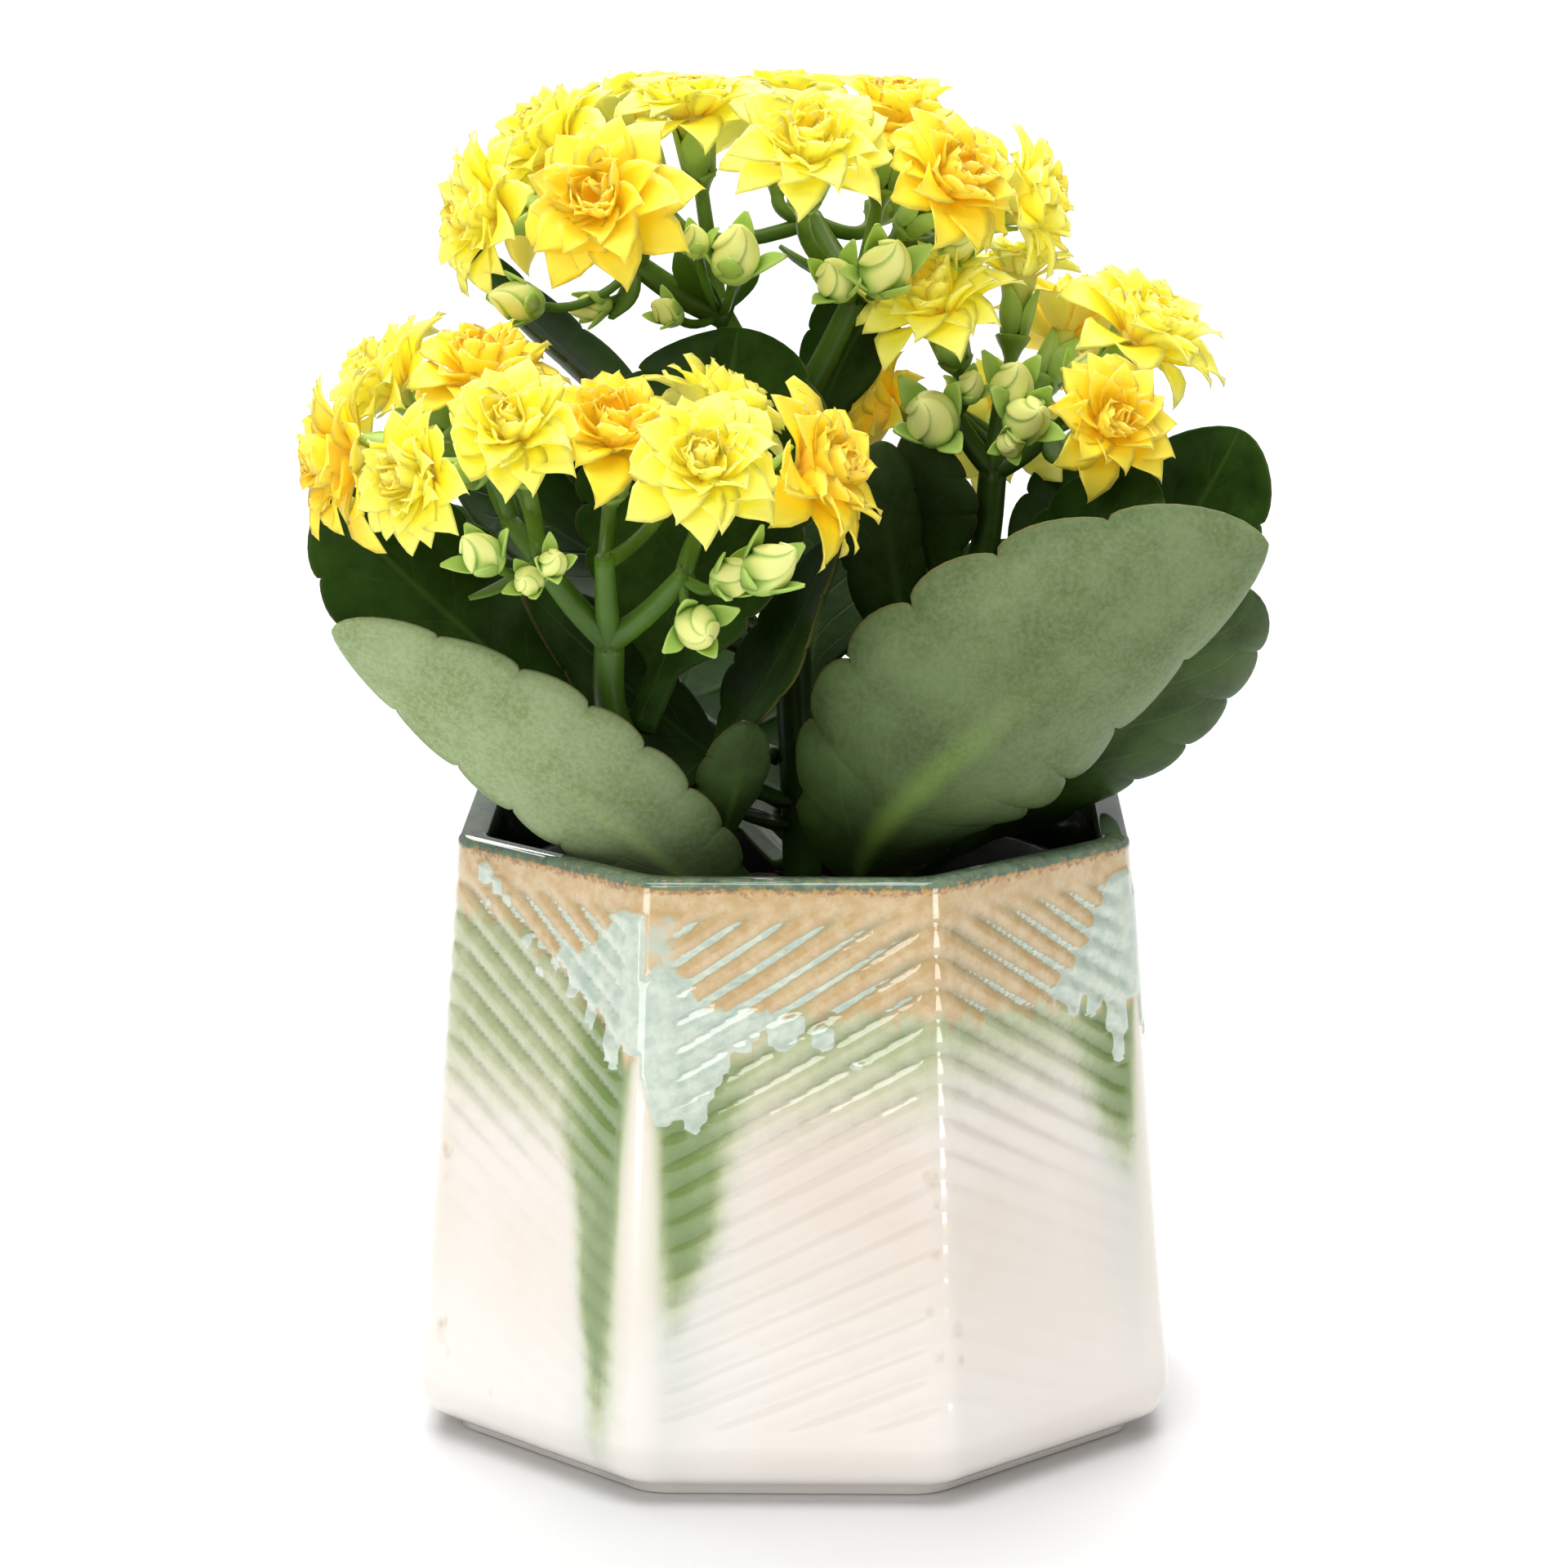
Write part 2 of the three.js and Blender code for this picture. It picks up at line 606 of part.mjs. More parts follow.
function isClear(points, number, spheres) {
  const own = rows[number].heart;
  for (let other = 0; other < rows.length; other++) {
    if (other === number) continue;
    const away = rows[other].heart.clone().sub(own);
    const limit = (away.length() * rows[number].width) / (rows[number].width + rows[other].width);
    away.normalize();
    if (points.some((point) => point.clone().sub(own).dot(away) > limit - GAP / 2)) return false;
  }
  return !spheres.some(({ point, radius }) =>
    points.some((corner) => corner.distanceTo(point) < radius + 2 * GAP),
  );
}

// Each flower is turned a little further round its own axis than the one before it.
const whorlTurn = (number, k) => (Math.PI * k) / WHORL_PETALS + degrees(BLOOM_TURN * number);

// A flower's own frame: a place at a turn round its axis, out from it, and along it.
function around(row, turn, radius, height) {
  const frame = new THREE.Quaternion().setFromUnitVectors(vec(0, 0, 1), row.facing);
  const out = vec(Math.cos(turn), Math.sin(turn), 0).applyQuaternion(frame);
  return out.multiplyScalar(radius).addScaledVector(row.facing, height).add(row.middle);
}

// One point of a whorl, on its lower and its upper face.
function petalEdge(row, turn, lean, reach) {
  const thin = PETAL_THICKNESS / 2;
  const out = reach * Math.sin(lean);
  const up = reach * Math.cos(lean);
  return [1, -1].map((face) =>
    around(row, turn, out + face * thin * Math.cos(lean), up - face * thin * Math.sin(lean)),
  );
}

// The whorl's points, each with its lean and reach: first the petals' tips, then the notches
// between them, which rise with the tips beside them. They stay within the given limits, which
// for the inner whorl come from the outer one.
function whorlPoints(row, number, whorl, first, limits, spheres) {
  const count = limits.length;
  const radius = row.width / 2;
  const points = [];
  const settle = (k, wantedLean, share) => {
    let lean = Math.min(wantedLean, limits[k].lean);
    let reach = Math.min(share * radius, limits[k].reach);
    let edge = petalEdge(row, whorlTurn(number, k), degrees(lean), reach);
    while (!isClear(edge, number, spheres) && reach > SHORTEST_PETAL * radius) {
      if (lean > whorl.closest) lean -= 4;
      else reach *= 0.93;
      edge = petalEdge(row, whorlTurn(number, k), degrees(lean), reach);
    }
    points[k] = { edge, lean, reach };
  };
  for (let k = first; k < count; k += 2) settle(k, whorl.lean * row.open, whorl.tip);
  for (let k = 1 - first; k < count; k += 2) {
    const beside = (points[(k + 1) % count].lean + points[(k + count - 1) % count].lean) / 2;
    settle(k, beside - whorl.notchLift, whorl.notch);
  }
  return points;
}

function bloom(row, number) {
  const spheres = greenSpheres(number);
  const radius = row.width / 2;
  const closed = 1 - row.open;
  const whole = Array(2 * WHORL_PETALS).fill({ lean: 180, reach: radius });
  const outer = whorlPoints(row, number, OUTER, 0, whole, spheres);
  const within = outer.map(({ lean, reach }) => ({ lean: 0.58 * lean, reach: 0.8 * reach }));
  const inner = whorlPoints(row, number, INNER, 1, within, spheres);
  const ring = (out, height) => whole.map((_, k) => around(row, whorlTurn(number, k), out, height));
  return loft([
    ring(TUBE_RADII[0], -TUBE_LENGTH),
    ring(TUBE_RADII[1], -1),
    outer.map(({ edge }) => edge[0]),
    outer.map(({ edge }) => edge[1]),
    ring(2.5 - closed, 1.3),
    inner.map(({ edge }) => edge[0]),
    inner.map(({ edge }) => edge[1]),
    ring(1 - closed, 2),
    ring(1 - 1.6 * closed, 0.4 * radius),
    ring(0.3, 0.5 * radius),
  ]);
}

// ---------------------------------------------------------------- leaves
// Fleshy blades with rounded scallops, broadest past the middle, on a short flat stalk of their
// own. Both faces share one pattern of triangles.
function leafShape(share) {
  return Math.pow(Math.max(Math.sin(Math.PI * Math.pow(share, 1.3)), 0), 0.5);
}

function leaf([, stalk, height, bow, tip, roll, width, cup, scallops]) {
  const columns = width > WIDE_LEAF ? 4 : 2;
  const start = leafRoot(byName[`stalk_${stalk}`], height, vec(...bow));
  const rib = new THREE.QuadraticBezierCurve3(start, vec(...bow), vec(...tip));
  const level = vec(tip[0] - start.x, tip[1] - start.y, 0);
  const sideways = vec(-level.y, level.x, 0).normalize();
  const first = PETIOLE_SHARE + 0.17;
  const stations = [[0, 1], [PETIOLE_SHARE, 1], [PETIOLE_SHARE + 0.08, 1]];
  for (let k = 0; k < scallops; k++) {
    stations.push([mix(first, 1, k / scallops), 1 - SCALLOP_DEPTH]);
    stations.push([mix(first, 1, (k + 0.55) / scallops), 1]);
  }
  stations.push([1, 1]);
  const upper = [];
  const lower = [];
  for (const [t, trim] of stations) {
    const along = rib.getTangent(t);
    const across = sideways.clone().addScaledVector(along, -sideways.dot(along)).normalize();
    across.applyAxisAngle(along, degrees(roll) * Math.min(1, t / TWIST_SHARE));
    const up = along.clone().cross(across);
    const share = Math.max(t - PETIOLE_SHARE, 0) / (1 - PETIOLE_SHARE);
    const full = (width / 2) * leafShape(Math.min(share, 0.975)) * trim;
    const half = Math.max(full, PETIOLE_WIDTH / 2);
    for (let c = 0; c <= columns; c++) {
      const out = (2 * c) / columns - 1;
      const rise = cup * half * out * out * Math.min(1, share * 4);
      const thick = mix(LEAF_RIB, LEAF_EDGE, Math.abs(out)) / 2;
      const middle = rib.getPoint(t).addScaledVector(across, out * half).addScaledVector(up, rise);
      upper.push(middle.clone().addScaledVector(up, thick));
      lower.push(middle.clone().addScaledVector(up, -thick));
    }
  }
  const faces = [];
  for (let s = 0; s + 1 < stations.length; s++) {
    for (let c = 0; c < columns; c++) {
      const a = s * (columns + 1) + c;
      const d = a + columns + 1;
      if (c < columns / 2) faces.push([a, d, d + 1], [a, d + 1, a + 1]);
      else faces.push([a, d, a + 1], [a + 1, d, d + 1]);
    }
  }
  return blade(upper, lower, faces);
}

// A leaf starts just clear of its stem's skin, on the side that it leaves to.
function leafRoot(stalk, height, bow) {
  const axis = stemAxis(stalk);
  const k = axis.findIndex((point) => point.z > height);
  const from = axis[k - 1];
  const to = axis[k];
  const point = from.clone().lerp(to, (height - from.z) / (to.z - from.z));
  const along = to.clone().sub(from).normalize();
  const heading = bow.clone().sub(point).normalize();
  const out = heading.clone().addScaledVector(along, -heading.dot(along)).normalize();
  const lying = Math.abs(heading.dot(along));
  return point.addScaledVector(out, stalk.radius + 1.7 * GAP + (LEAF_RIB / 2) * lying);
}

// ---------------------------------------------------------------- assembly
const kalanchoe = new THREE.Group();

function add(name, solid, color, roughness) {
  const mesh = solid.getMesh();
  const geometry = new THREE.BufferGeometry();
  geometry.setAttribute("position", new THREE.BufferAttribute(mesh.vertProperties, 3));
  geometry.setIndex(new THREE.BufferAttribute(mesh.triVerts, 1));
  const material = new THREE.MeshStandardMaterial({ color, roughness, metalness: 0, flatShading: true });
  const piece = new THREE.Mesh(geometry, material);
  piece.name = name;
  kalanchoe.add(piece);
}

add("pot", pot(), COLOURS.glaze, 0.15);
add("nursery_pot", nurseryPot(), COLOURS.nursery, 0.5);
add("soil", soil(), COLOURS.soil, 0.95);
for (const stalk of STALKS) add(stalk.name, stalkBody(stalk), COLOURS.stalk, 0.45);
for (const row of LEAVES) add(`leaf_${row[0]}`, leaf(row), COLOURS.leaf, 0.35);
rows.forEach((row, i) => add(row.name, bloom(row, i), COLOURS[row.colour], 0.5));

export default kalanchoe;
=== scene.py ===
import math

import bmesh
import bpy
import numpy as np
from mathutils import Matrix, Vector


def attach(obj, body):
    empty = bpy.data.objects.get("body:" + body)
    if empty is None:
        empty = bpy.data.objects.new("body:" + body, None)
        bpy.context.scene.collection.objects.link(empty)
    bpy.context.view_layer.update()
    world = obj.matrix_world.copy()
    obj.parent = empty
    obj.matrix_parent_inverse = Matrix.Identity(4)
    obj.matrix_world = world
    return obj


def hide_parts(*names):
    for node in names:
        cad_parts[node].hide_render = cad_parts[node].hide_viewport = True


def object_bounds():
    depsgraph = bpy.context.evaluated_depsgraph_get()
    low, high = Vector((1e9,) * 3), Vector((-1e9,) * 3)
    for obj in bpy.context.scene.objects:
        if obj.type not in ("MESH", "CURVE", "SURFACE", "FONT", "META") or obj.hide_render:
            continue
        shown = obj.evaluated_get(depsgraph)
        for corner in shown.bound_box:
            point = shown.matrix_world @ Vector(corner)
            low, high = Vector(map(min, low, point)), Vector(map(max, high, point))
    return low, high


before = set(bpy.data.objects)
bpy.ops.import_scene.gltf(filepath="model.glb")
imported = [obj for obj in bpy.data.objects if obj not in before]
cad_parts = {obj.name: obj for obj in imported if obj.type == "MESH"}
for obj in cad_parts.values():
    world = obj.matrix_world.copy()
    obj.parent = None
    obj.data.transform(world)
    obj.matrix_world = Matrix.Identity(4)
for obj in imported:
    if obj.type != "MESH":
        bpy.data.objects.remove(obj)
cad_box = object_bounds()

# ------------------------------------------------------------------ cover pot
# One slip-cast earthenware cover pot, eight leaning faces with softened corners on a low foot,
# glazed twice: a glossy cream bath, then a reactive glaze on the upper half that ran in the
# firing. Sizes are millimetres, turned into metres as a mesh is made.
MM = 0.001
POT_SIDES = 8
POT_HEIGHT = 74.2
RIM_APOTHEM = 40.55
BELLY_APOTHEM = 46.0
BELLY_HEIGHT = 6.8
FOOT_APOTHEM = 41.0
POT_WALL = 4.0
POT_FLOOR = 5.0
CORNER_TANGENT = 2.4
FACE_HALF = 18.0
# How much of half a face is flat, and how far round its softened corner the face goes on.
FLAT_SHARE = 0.93
CORNER_REACH = 3.3
RIDGE_PITCH = 3.3
RIDGE_DEPTH = 0.62
LOW_RIDGE_DEPTH_SHARE = 0.22
# The climb of the ridges, at the foot and at the rim. They fade in from the valley corner, above
# the foot and below the rim, and lie flatter at the crest corner.
RIDGE_SLOPE = (0.36, 0.64)
RIDGE_START = (1.2, 4.2)
RIDGE_FOOT = (7.5, 13.0)
RIDGE_TOP = (POT_HEIGHT - 2.6, POT_HEIGHT - 6.5)
CREST_WIDTH = 2.5
CREST_SHARE = 0.3
GLAZE_THICKNESS = 0.3

# For each face, going round to the right from the front one: how low the thick pale glaze ran
# beside the valley corner, how fast its edge climbs away from there, how high it stays at
# most, how low the green under it ran beside that corner, and how low elsewhere.
GLAZE_RUNS = [
    (45.5, 0.78, 59, 23, 45.0),
    (55.0, 0.12, 58, 36, 47.0),
    (51.0, 0.45, 61, 26, 44.0),
    (47.0, 0.60, 60, 18, 45.5),
    (53.0, 0.35, 62, 30, 43.0),
    (46.0, 0.70, 58, 12, 46.0),
    (54.0, 0.25, 61, 33, 44.5),
    (53.5, 0.55, 66, 7, 41.5),
]
# Runs that hang below that edge: face, distance from the valley corner, length, width.
GLAZE_DRIPS = [
    (0, 2.2, 2.0, 2.2), (0, 6.2, 5.2, 2.4), (0, 9.0, 2.8, 1.0), (0, 12.5, 1.6, 1.2),
    (1, 3.6, 7.6, 1.7), (1, 8.0, 2.0, 1.6), (1, 12.0, 1.6, 1.8), (1, 16.5, 1.0, 1.4),
    (7, 4.2, 4.6, 1.7), (7, 8.2, 2.8, 1.2), (7, 12.6, 2.2, 1.0), (7, 16.0, 3.0, 0.9),
    (2, 3.0, 4.0, 2.0), (2, 9.0, 3.0, 1.6), (3, 2.5, 5.0, 1.8), (3, 7.5, 2.2, 1.4),
    (4, 4.0, 6.0, 2.0), (4, 10.5, 2.5, 1.3), (5, 3.0, 4.2, 2.2), (5, 8.5, 3.0, 1.5),
    (6, 2.6, 5.5, 1.6), (6, 7.0, 2.5, 1.8),
]
# Loose beads of the pale glaze and small stains of the tan one: face, distance from the valley
# corner, height, radius. Below them: how far their edge is soft outside and inside that radius,
# how fully they cover, and how much taller than wide a stain is.
GLAZE_BEADS = [
    (0, 17.0, 56.2, 1.9), (0, 19.0, 57.4, 1.2), (0, 22.4, 55.8, 1.5), (0, 26.6, 52.6, 0.6),
    (0, 16.2, 53.4, 0.35), (7, 18.8, 60.5, 0.8), (7, 21.5, 63.8, 0.9), (1, 2.0, 38.0, 0.3),
    (7, 31, 70.6, 1.4), (7, 28.6, 69.4, 1.1), (7, 26.4, 68.0, 0.8), (7, 30, 67.2, 0.5),
    (3, 15.0, 55.5, 1.2), (5, 18.0, 56.0, 1.5), (6, 14.0, 58.0, 0.9), (4, 19.0, 60.0, 1.1),
]
GLAZE_STAINS = [
    (0, 35.3, 39.5, 0.8), (0, 35.7, 36.4, 0.6), (1, 34.9, 38.0, 0.5), (0, 35.4, 30.5, 0.4),
    (1, 35.1, 21.5, 0.8), (0, 35.6, 18.4, 0.7), (1, 34.7, 17.6, 0.5), (0, 34.9, 23.6, 0.4),
    (7, 34.5, 36, 1.0), (7, 34.9, 32.6, 0.6), (7, 33.2, 13.8, 1.2), (7, 31.9, 11.4, 0.8),
    (7, 23.5, 8.6, 0.4), (3, 35.2, 28.0, 0.7), (4, 35.3, 22.0, 0.6),
]
BEAD_EDGE, BEAD_COVER = (0.3, 0.3), 1.1
STAIN_EDGE, STAIN_COVER, STAIN_TALL = (0.9, 0.6), 0.4, 1.4
# How far from the valley corner the thick glaze and the green streak have ended, and up to where
# they keep their full strength.
THICK_END = (20.0, 13.0)
STREAK_END = (14.5, 3.0)
# Beside the valley corner the thick glaze is solid up to the first height above its edge, less so
# over the spread that comes second, and up to the third height farther out. Higher up it fills
# the grooves and is a thin skin between them.
SOLID_HEIGHT, SOLID_SPREAD, FAR_SOLID_HEIGHT = 12.0, 8.0, 2.5
THIN_GLAZE = 0.1
# The green fades out over this height, a mist of it runs on this far below, and away from the
# streak it is as strong as this share.
GREEN_FADE = 9.0
MIST_LENGTH = 34.0
FLAT_GREEN = 0.62
# The valley corner itself ran bare below this height, and the wider the lower.
BARE_TOP = 58.0


def smooth(low, high, value):
    """0 below low, 1 above high and an even turn between; low may be the larger."""
    share = np.clip((np.asarray(value, float) - low) / (high - low), 0, 1)
    return share * share * (3 - 2 * share)


def wobble(value, seed):
    """A slow, repeatable waver between -1 and 1."""
    return (np.sin(1.7 * value + 3.1 * seed) + np.sin(0.73 * value + 1.3 * seed + 0.4)) / 2


def pot_apothem(height):
    """From the pot's axis to the flat of a face, above the belly."""
    lean = (BELLY_APOTHEM - RIM_APOTHEM) / (POT_HEIGHT - BELLY_HEIGHT)
    return BELLY_APOTHEM - (height - BELLY_HEIGHT) * lean


def make_mesh(name, verts, faces, attributes):
    """A smooth mesh in metres from millimetres, its faces turned outwards."""
    mesh = bpy.data.meshes.new(name)
    mesh.from_pydata((np.asarray(verts) * MM).tolist(), [], faces)
    for key, values in attributes.items():
        layer = mesh.attributes.new(key, "FLOAT", "POINT")
        layer.data.foreach_set("value", np.asarray(values, np.float32))
    work = bmesh.new()
    work.from_mesh(mesh)
    bmesh.ops.recalc_face_normals(work, faces=work.faces)
    work.to_mesh(mesh)
    work.free()
    mesh.shade_smooth()
    return mesh


def skin(rings):
    """Points and faces of a closed tube through rings, an array of rows by columns by 3."""
    rows, columns = rings.shape[:2]
    verts = np.vstack([rings.reshape(-1, 3), rings[0].mean(0), rings[-1].mean(0)])
    low, high = rows * columns, rows * columns + 1
    faces = []
    for c in range(columns):
        d = (c + 1) % columns
        for r in range(0, (rows - 1) * columns, columns):
            faces.append((r + c, r + d, r + columns + d, r + columns + c))
        faces.append((low, d, c))
        faces.append((high, low - columns + c, low - columns + d))
    return verts, faces


def settle(piece, slot, *nodes):
    """A finished piece takes the place of its solids and stands with the rest."""
    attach(piece, "root")
    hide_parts(*nodes)
    return piece


def placed(name, data):
    thing = bpy.data.objects.new(name, data)
    bpy.context.scene.collection.objects.link(thing)
    return thing


def new_piece(name, mesh, material):
    piece = placed(name, mesh)
    mesh.materials.append(material)
    return piece


def linear(red, green, blue):
    """A colour as read off a colour card, 0 to 255, for a shader."""
    parts = np.array([red, green, blue]) / 255
    return (*np.where(parts < 0.04045, parts / 12.92, ((parts + 0.055) / 1.055) ** 2.4), 1)


class Recipe:
    """A material's nodes, added one by one."""

    def __init__(self, name):
        self.material = bpy.data.materials.new(name)
        self.material.use_nodes = True
        self.nodes = self.material.node_tree.nodes
        self.links = self.material.node_tree.links
        self.shader = self.nodes["Principled BSDF"]

    def feed(self, socket, value):
        if isinstance(value, bpy.types.NodeSocket):
            self.links.new(value, socket)
        else:
            socket.default_value = value

    def shine(self, **values):
        for key, value in values.items():
            self.feed(self.shader.inputs[key.replace("_", " ")], value)

    def attribute(self, name):
        node = self.nodes.new("ShaderNodeAttribute")
        node.attribute_name = name
        return node.outputs["Fac"]

    def math(self, operation, a, b=0.5, c=0.5):
        node = self.nodes.new("ShaderNodeMath")
        node.operation = operation
        for socket, value in zip(node.inputs, (a, b, c)):
            self.feed(socket, value)
        return node.outputs[0]

    def ramp(self, value, low, high, to_low=0.0, to_high=1.0):
        node = self.nodes.new("ShaderNodeMapRange")
        node.interpolation_type = "SMOOTHSTEP"
        for key, entry in zip(("Value", "From Min", "From Max", "To Min", "To Max"),
                              (value, low, high, to_low, to_high)):
            self.feed(node.inputs[key], entry)
        return node.outputs["Result"]

    def mix(self, share, first, second, blend="MIX"):
        node = self.nodes.new("ShaderNodeMix")
        node.data_type = "RGBA"
        node.blend_type = blend
        self.feed(node.inputs["Factor"], share)
        self.feed(node.inputs[6], first)
        self.feed(node.inputs[7], second)
        return node.outputs[2]

    def noise(self, per_mm, detail=3.0, rough=0.5, stretch=(1, 1, 1)):
        """Cloudy values about 0.5, of so many features a millimetre."""
        place = self.nodes.new("ShaderNodeTexCoord")
        mapping = self.nodes.new("ShaderNodeMapping")
        mapping.inputs["Scale"].default_value = stretch
        self.links.new(place.outputs["Object"], mapping.inputs["Vector"])
        node = self.nodes.new("ShaderNodeTexNoise")
        self.links.new(mapping.outputs["Vector"], node.inputs["Vector"])
        node.inputs["Scale"].default_value = per_mm / MM
        node.inputs["Detail"].default_value = detail
        node.inputs["Roughness"].default_value = rough
        return node.outputs["Fac"]

    def bump(self, height, strength, distance):
        node = self.nodes.new("ShaderNodeBump")
        node.inputs["Strength"].default_value = strength
        node.inputs["Distance"].default_value = distance * MM
        self.links.new(height, node.inputs["Height"])
        self.links.new(node.outputs["Normal"], self.shader.inputs["Normal"])


def pot_columns(corner_steps=6, face_steps=36):
    """Round one ring: each column's face, its share across the face and its corner turn."""
    bend = math.pi / POT_SIDES
    turns = np.linspace(-bend, 0, corner_steps, endpoint=False)
    columns = []
    for face in range(POT_SIDES):
        columns += [(face, -1, turn) for turn in turns]
        columns += [(face, share, 0) for share in np.linspace(-1, 1, face_steps)]
        columns += [(face, 1, -turn) for turn in turns[:0:-1]]
    return np.array(columns)


def pot_ring(columns, apothem, height, swell):
    """One ring of the pot's wall, with its skin moved out by swell."""
    face, share, turn = columns.T
    half = apothem * math.tan(math.pi / POT_SIDES) - CORNER_TANGENT
    bend_radius = CORNER_TANGENT / math.tan(math.pi / POT_SIDES)
    across = share * half + (bend_radius + swell) * np.sin(turn)
    out = apothem - bend_radius + (bend_radius + swell) * np.cos(turn)
    facing = 2 * math.pi * face / POT_SIDES
    x = out * np.sin(facing) + across * np.cos(facing)
    y = -out * np.cos(facing) + across * np.sin(facing)
    return np.column_stack([x, y, np.full(len(x), height)])


def valley_distance(columns):
    """How far each column lies from its face's valley corner, where the ridges start."""
    face, share, turn = columns.T
    hand = np.where(face % 2 == 0, 1, -1)
    edge = share * FACE_HALF * FLAT_SHARE + np.sign(share) * np.abs(np.sin(turn)) * CORNER_REACH
    return np.clip(edge * hand + FACE_HALF, 0, 2 * FACE_HALF)


def ridge_relief(distance, height):
    """0 on a ridge and 1 in the bottom of a groove."""
    low, high = RIDGE_SLOPE
    start = (height - distance * low) / (1 + distance * (high - low) / POT_HEIGHT)
    groove = (1 - np.abs(np.sin(math.pi * start / RIDGE_PITCH))) ** 1.5
    ends = smooth(*RIDGE_START, distance) * smooth(*RIDGE_FOOT, height) * smooth(*RIDGE_TOP, height)
    off_crest = smooth(2 * FACE_HALF, 2 * FACE_HALF - CREST_WIDTH, distance)
    return groove * ends * (CREST_SHARE + (1 - CREST_SHARE) * off_crest)


def dabs(rows, face, distance, height, edge, tall=1.0):
    """How fully loose dabs of glaze lie on each column."""
    cover = np.zeros(len(face))
    for dab_face, at, dab_height, radius in rows:
        away = np.hypot(distance - at, (height - dab_height) / tall)
        here = np.where(face == dab_face, smooth(radius + edge[0], radius - edge[1], away), 0)
        cover = np.maximum(cover, here)
    return cover


def glaze_layers(columns, height):
    """The runs at one height: thick pale glaze, tan above it, green and mist below it, and the
    corner where all of them ran thin."""
    face, distance = columns[:, 0].astype(int), valley_distance(columns)
    low, climb, top, green_low, green_high = np.array(GLAZE_RUNS)[face].T
    edge = np.minimum(low + climb * distance, top) + 0.7 * wobble(distance, face)
    drips = np.zeros(len(face))
    for drip_face, at, length, width in GLAZE_DRIPS:
        near = np.clip(1 - ((distance - at) / width) ** 2, 0, 1) ** 0.5
        drips = np.maximum(drips, np.where(face == drip_face, near * length, 0))
    above = height - (edge - drips)
    reach = SOLID_HEIGHT * np.exp(-((distance / SOLID_SPREAD) ** 2))
    reach = reach + FAR_SOLID_HEIGHT * smooth(18, 13, distance)
    solid = THIN_GLAZE + 0.42 * smooth(8, 2, distance)
    solid = solid + 0.8 * smooth(reach + 3.5, reach - 2.5, above - drips)
    thick = smooth(-0.25, 0.6, above) * solid * smooth(*THICK_END, distance)
    thick = thick * smooth(-0.2, 1.0, distance + (height - 49) / 5)
    in_groove = ridge_relief(distance, height) * (1.6 - distance / 36 - np.maximum(above, 0) / 60)
    pale = np.where(above > -0.25, np.maximum(thick, in_groove), 0)
    pale = pale * smooth(POT_HEIGHT - 1.5, POT_HEIGHT - 5, height)
    pale = np.maximum(pale, BEAD_COVER * dabs(GLAZE_BEADS, face, distance, height, BEAD_EDGE))

    tan = smooth(-4.0, 2.5, height - edge + 1.2 * wobble(distance * 1.9, face + 2))
    stains = dabs(GLAZE_STAINS, face, distance, height, STAIN_EDGE, STAIN_TALL)
    tan = np.maximum(tan, STAIN_COVER * stains)

    ran = max(BARE_TOP - height, 0)
    bare_width, soft = 0.25 + 0.03 * ran, 0.3 + 0.06 * ran
    streak = smooth(*STREAK_END, distance + 0.8 * wobble(height / 5, face))
    foot = green_low * streak + (green_high + 0.09 * distance) * (1 - streak)
    green = smooth(foot - GREEN_FADE, foot + 8, height) * (FLAT_GREEN + (1 - FLAT_GREEN) * streak)
    green = green * smooth(bare_width - soft, bare_width + 1.6 * soft, distance)
    mist = smooth(foot - MIST_LENGTH, foot - 2, height) * streak
    mist = mist * smooth(bare_width - 1, bare_width + 2, distance)
    bare = smooth(bare_width + soft, bare_width - soft, distance)
    bare = bare * (0.4 + 0.6 * smooth(62, 50, height)) * smooth(6, 36, height)
    return pale, tan, green, mist, bare


# The pot in section, as heights with apothems: the foot, the wall with its relief, the rounded lip
# and the plain inside down to the floor.
columns = pot_columns()
distance = valley_distance(columns)
profile = [(0, FOOT_APOTHEM - 0.6), (0.3, FOOT_APOTHEM - 0.1), (1.2, FOOT_APOTHEM), (1.5, 41.3)]
profile += [(1.7, 42.1), (2.2, 43.3), (3.2, 44.6), (4.6, 45.45), (6.0, 45.85)]
profile += [(z, pot_apothem(z)) for z in np.arange(7.2, POT_HEIGHT - 1.2, 0.36)]
wall_rows = len(profile)
profile += [(73.3, 40.45), (73.8, 40.2)]
outside_rows = len(profile)
profile += [(74.1, 39.75), (74.2, 39.2), (74.2, 37.9), (74.05, 37.3), (73.6, 36.85), (72.8, 36.7)]
profile += [(z, pot_apothem(z) - POT_WALL) for z in (70, 64, 54, 42, 30, 18, 10)]
profile += [(7, 41), (5.6, 39.2), (POT_FLOOR, 36.5)]

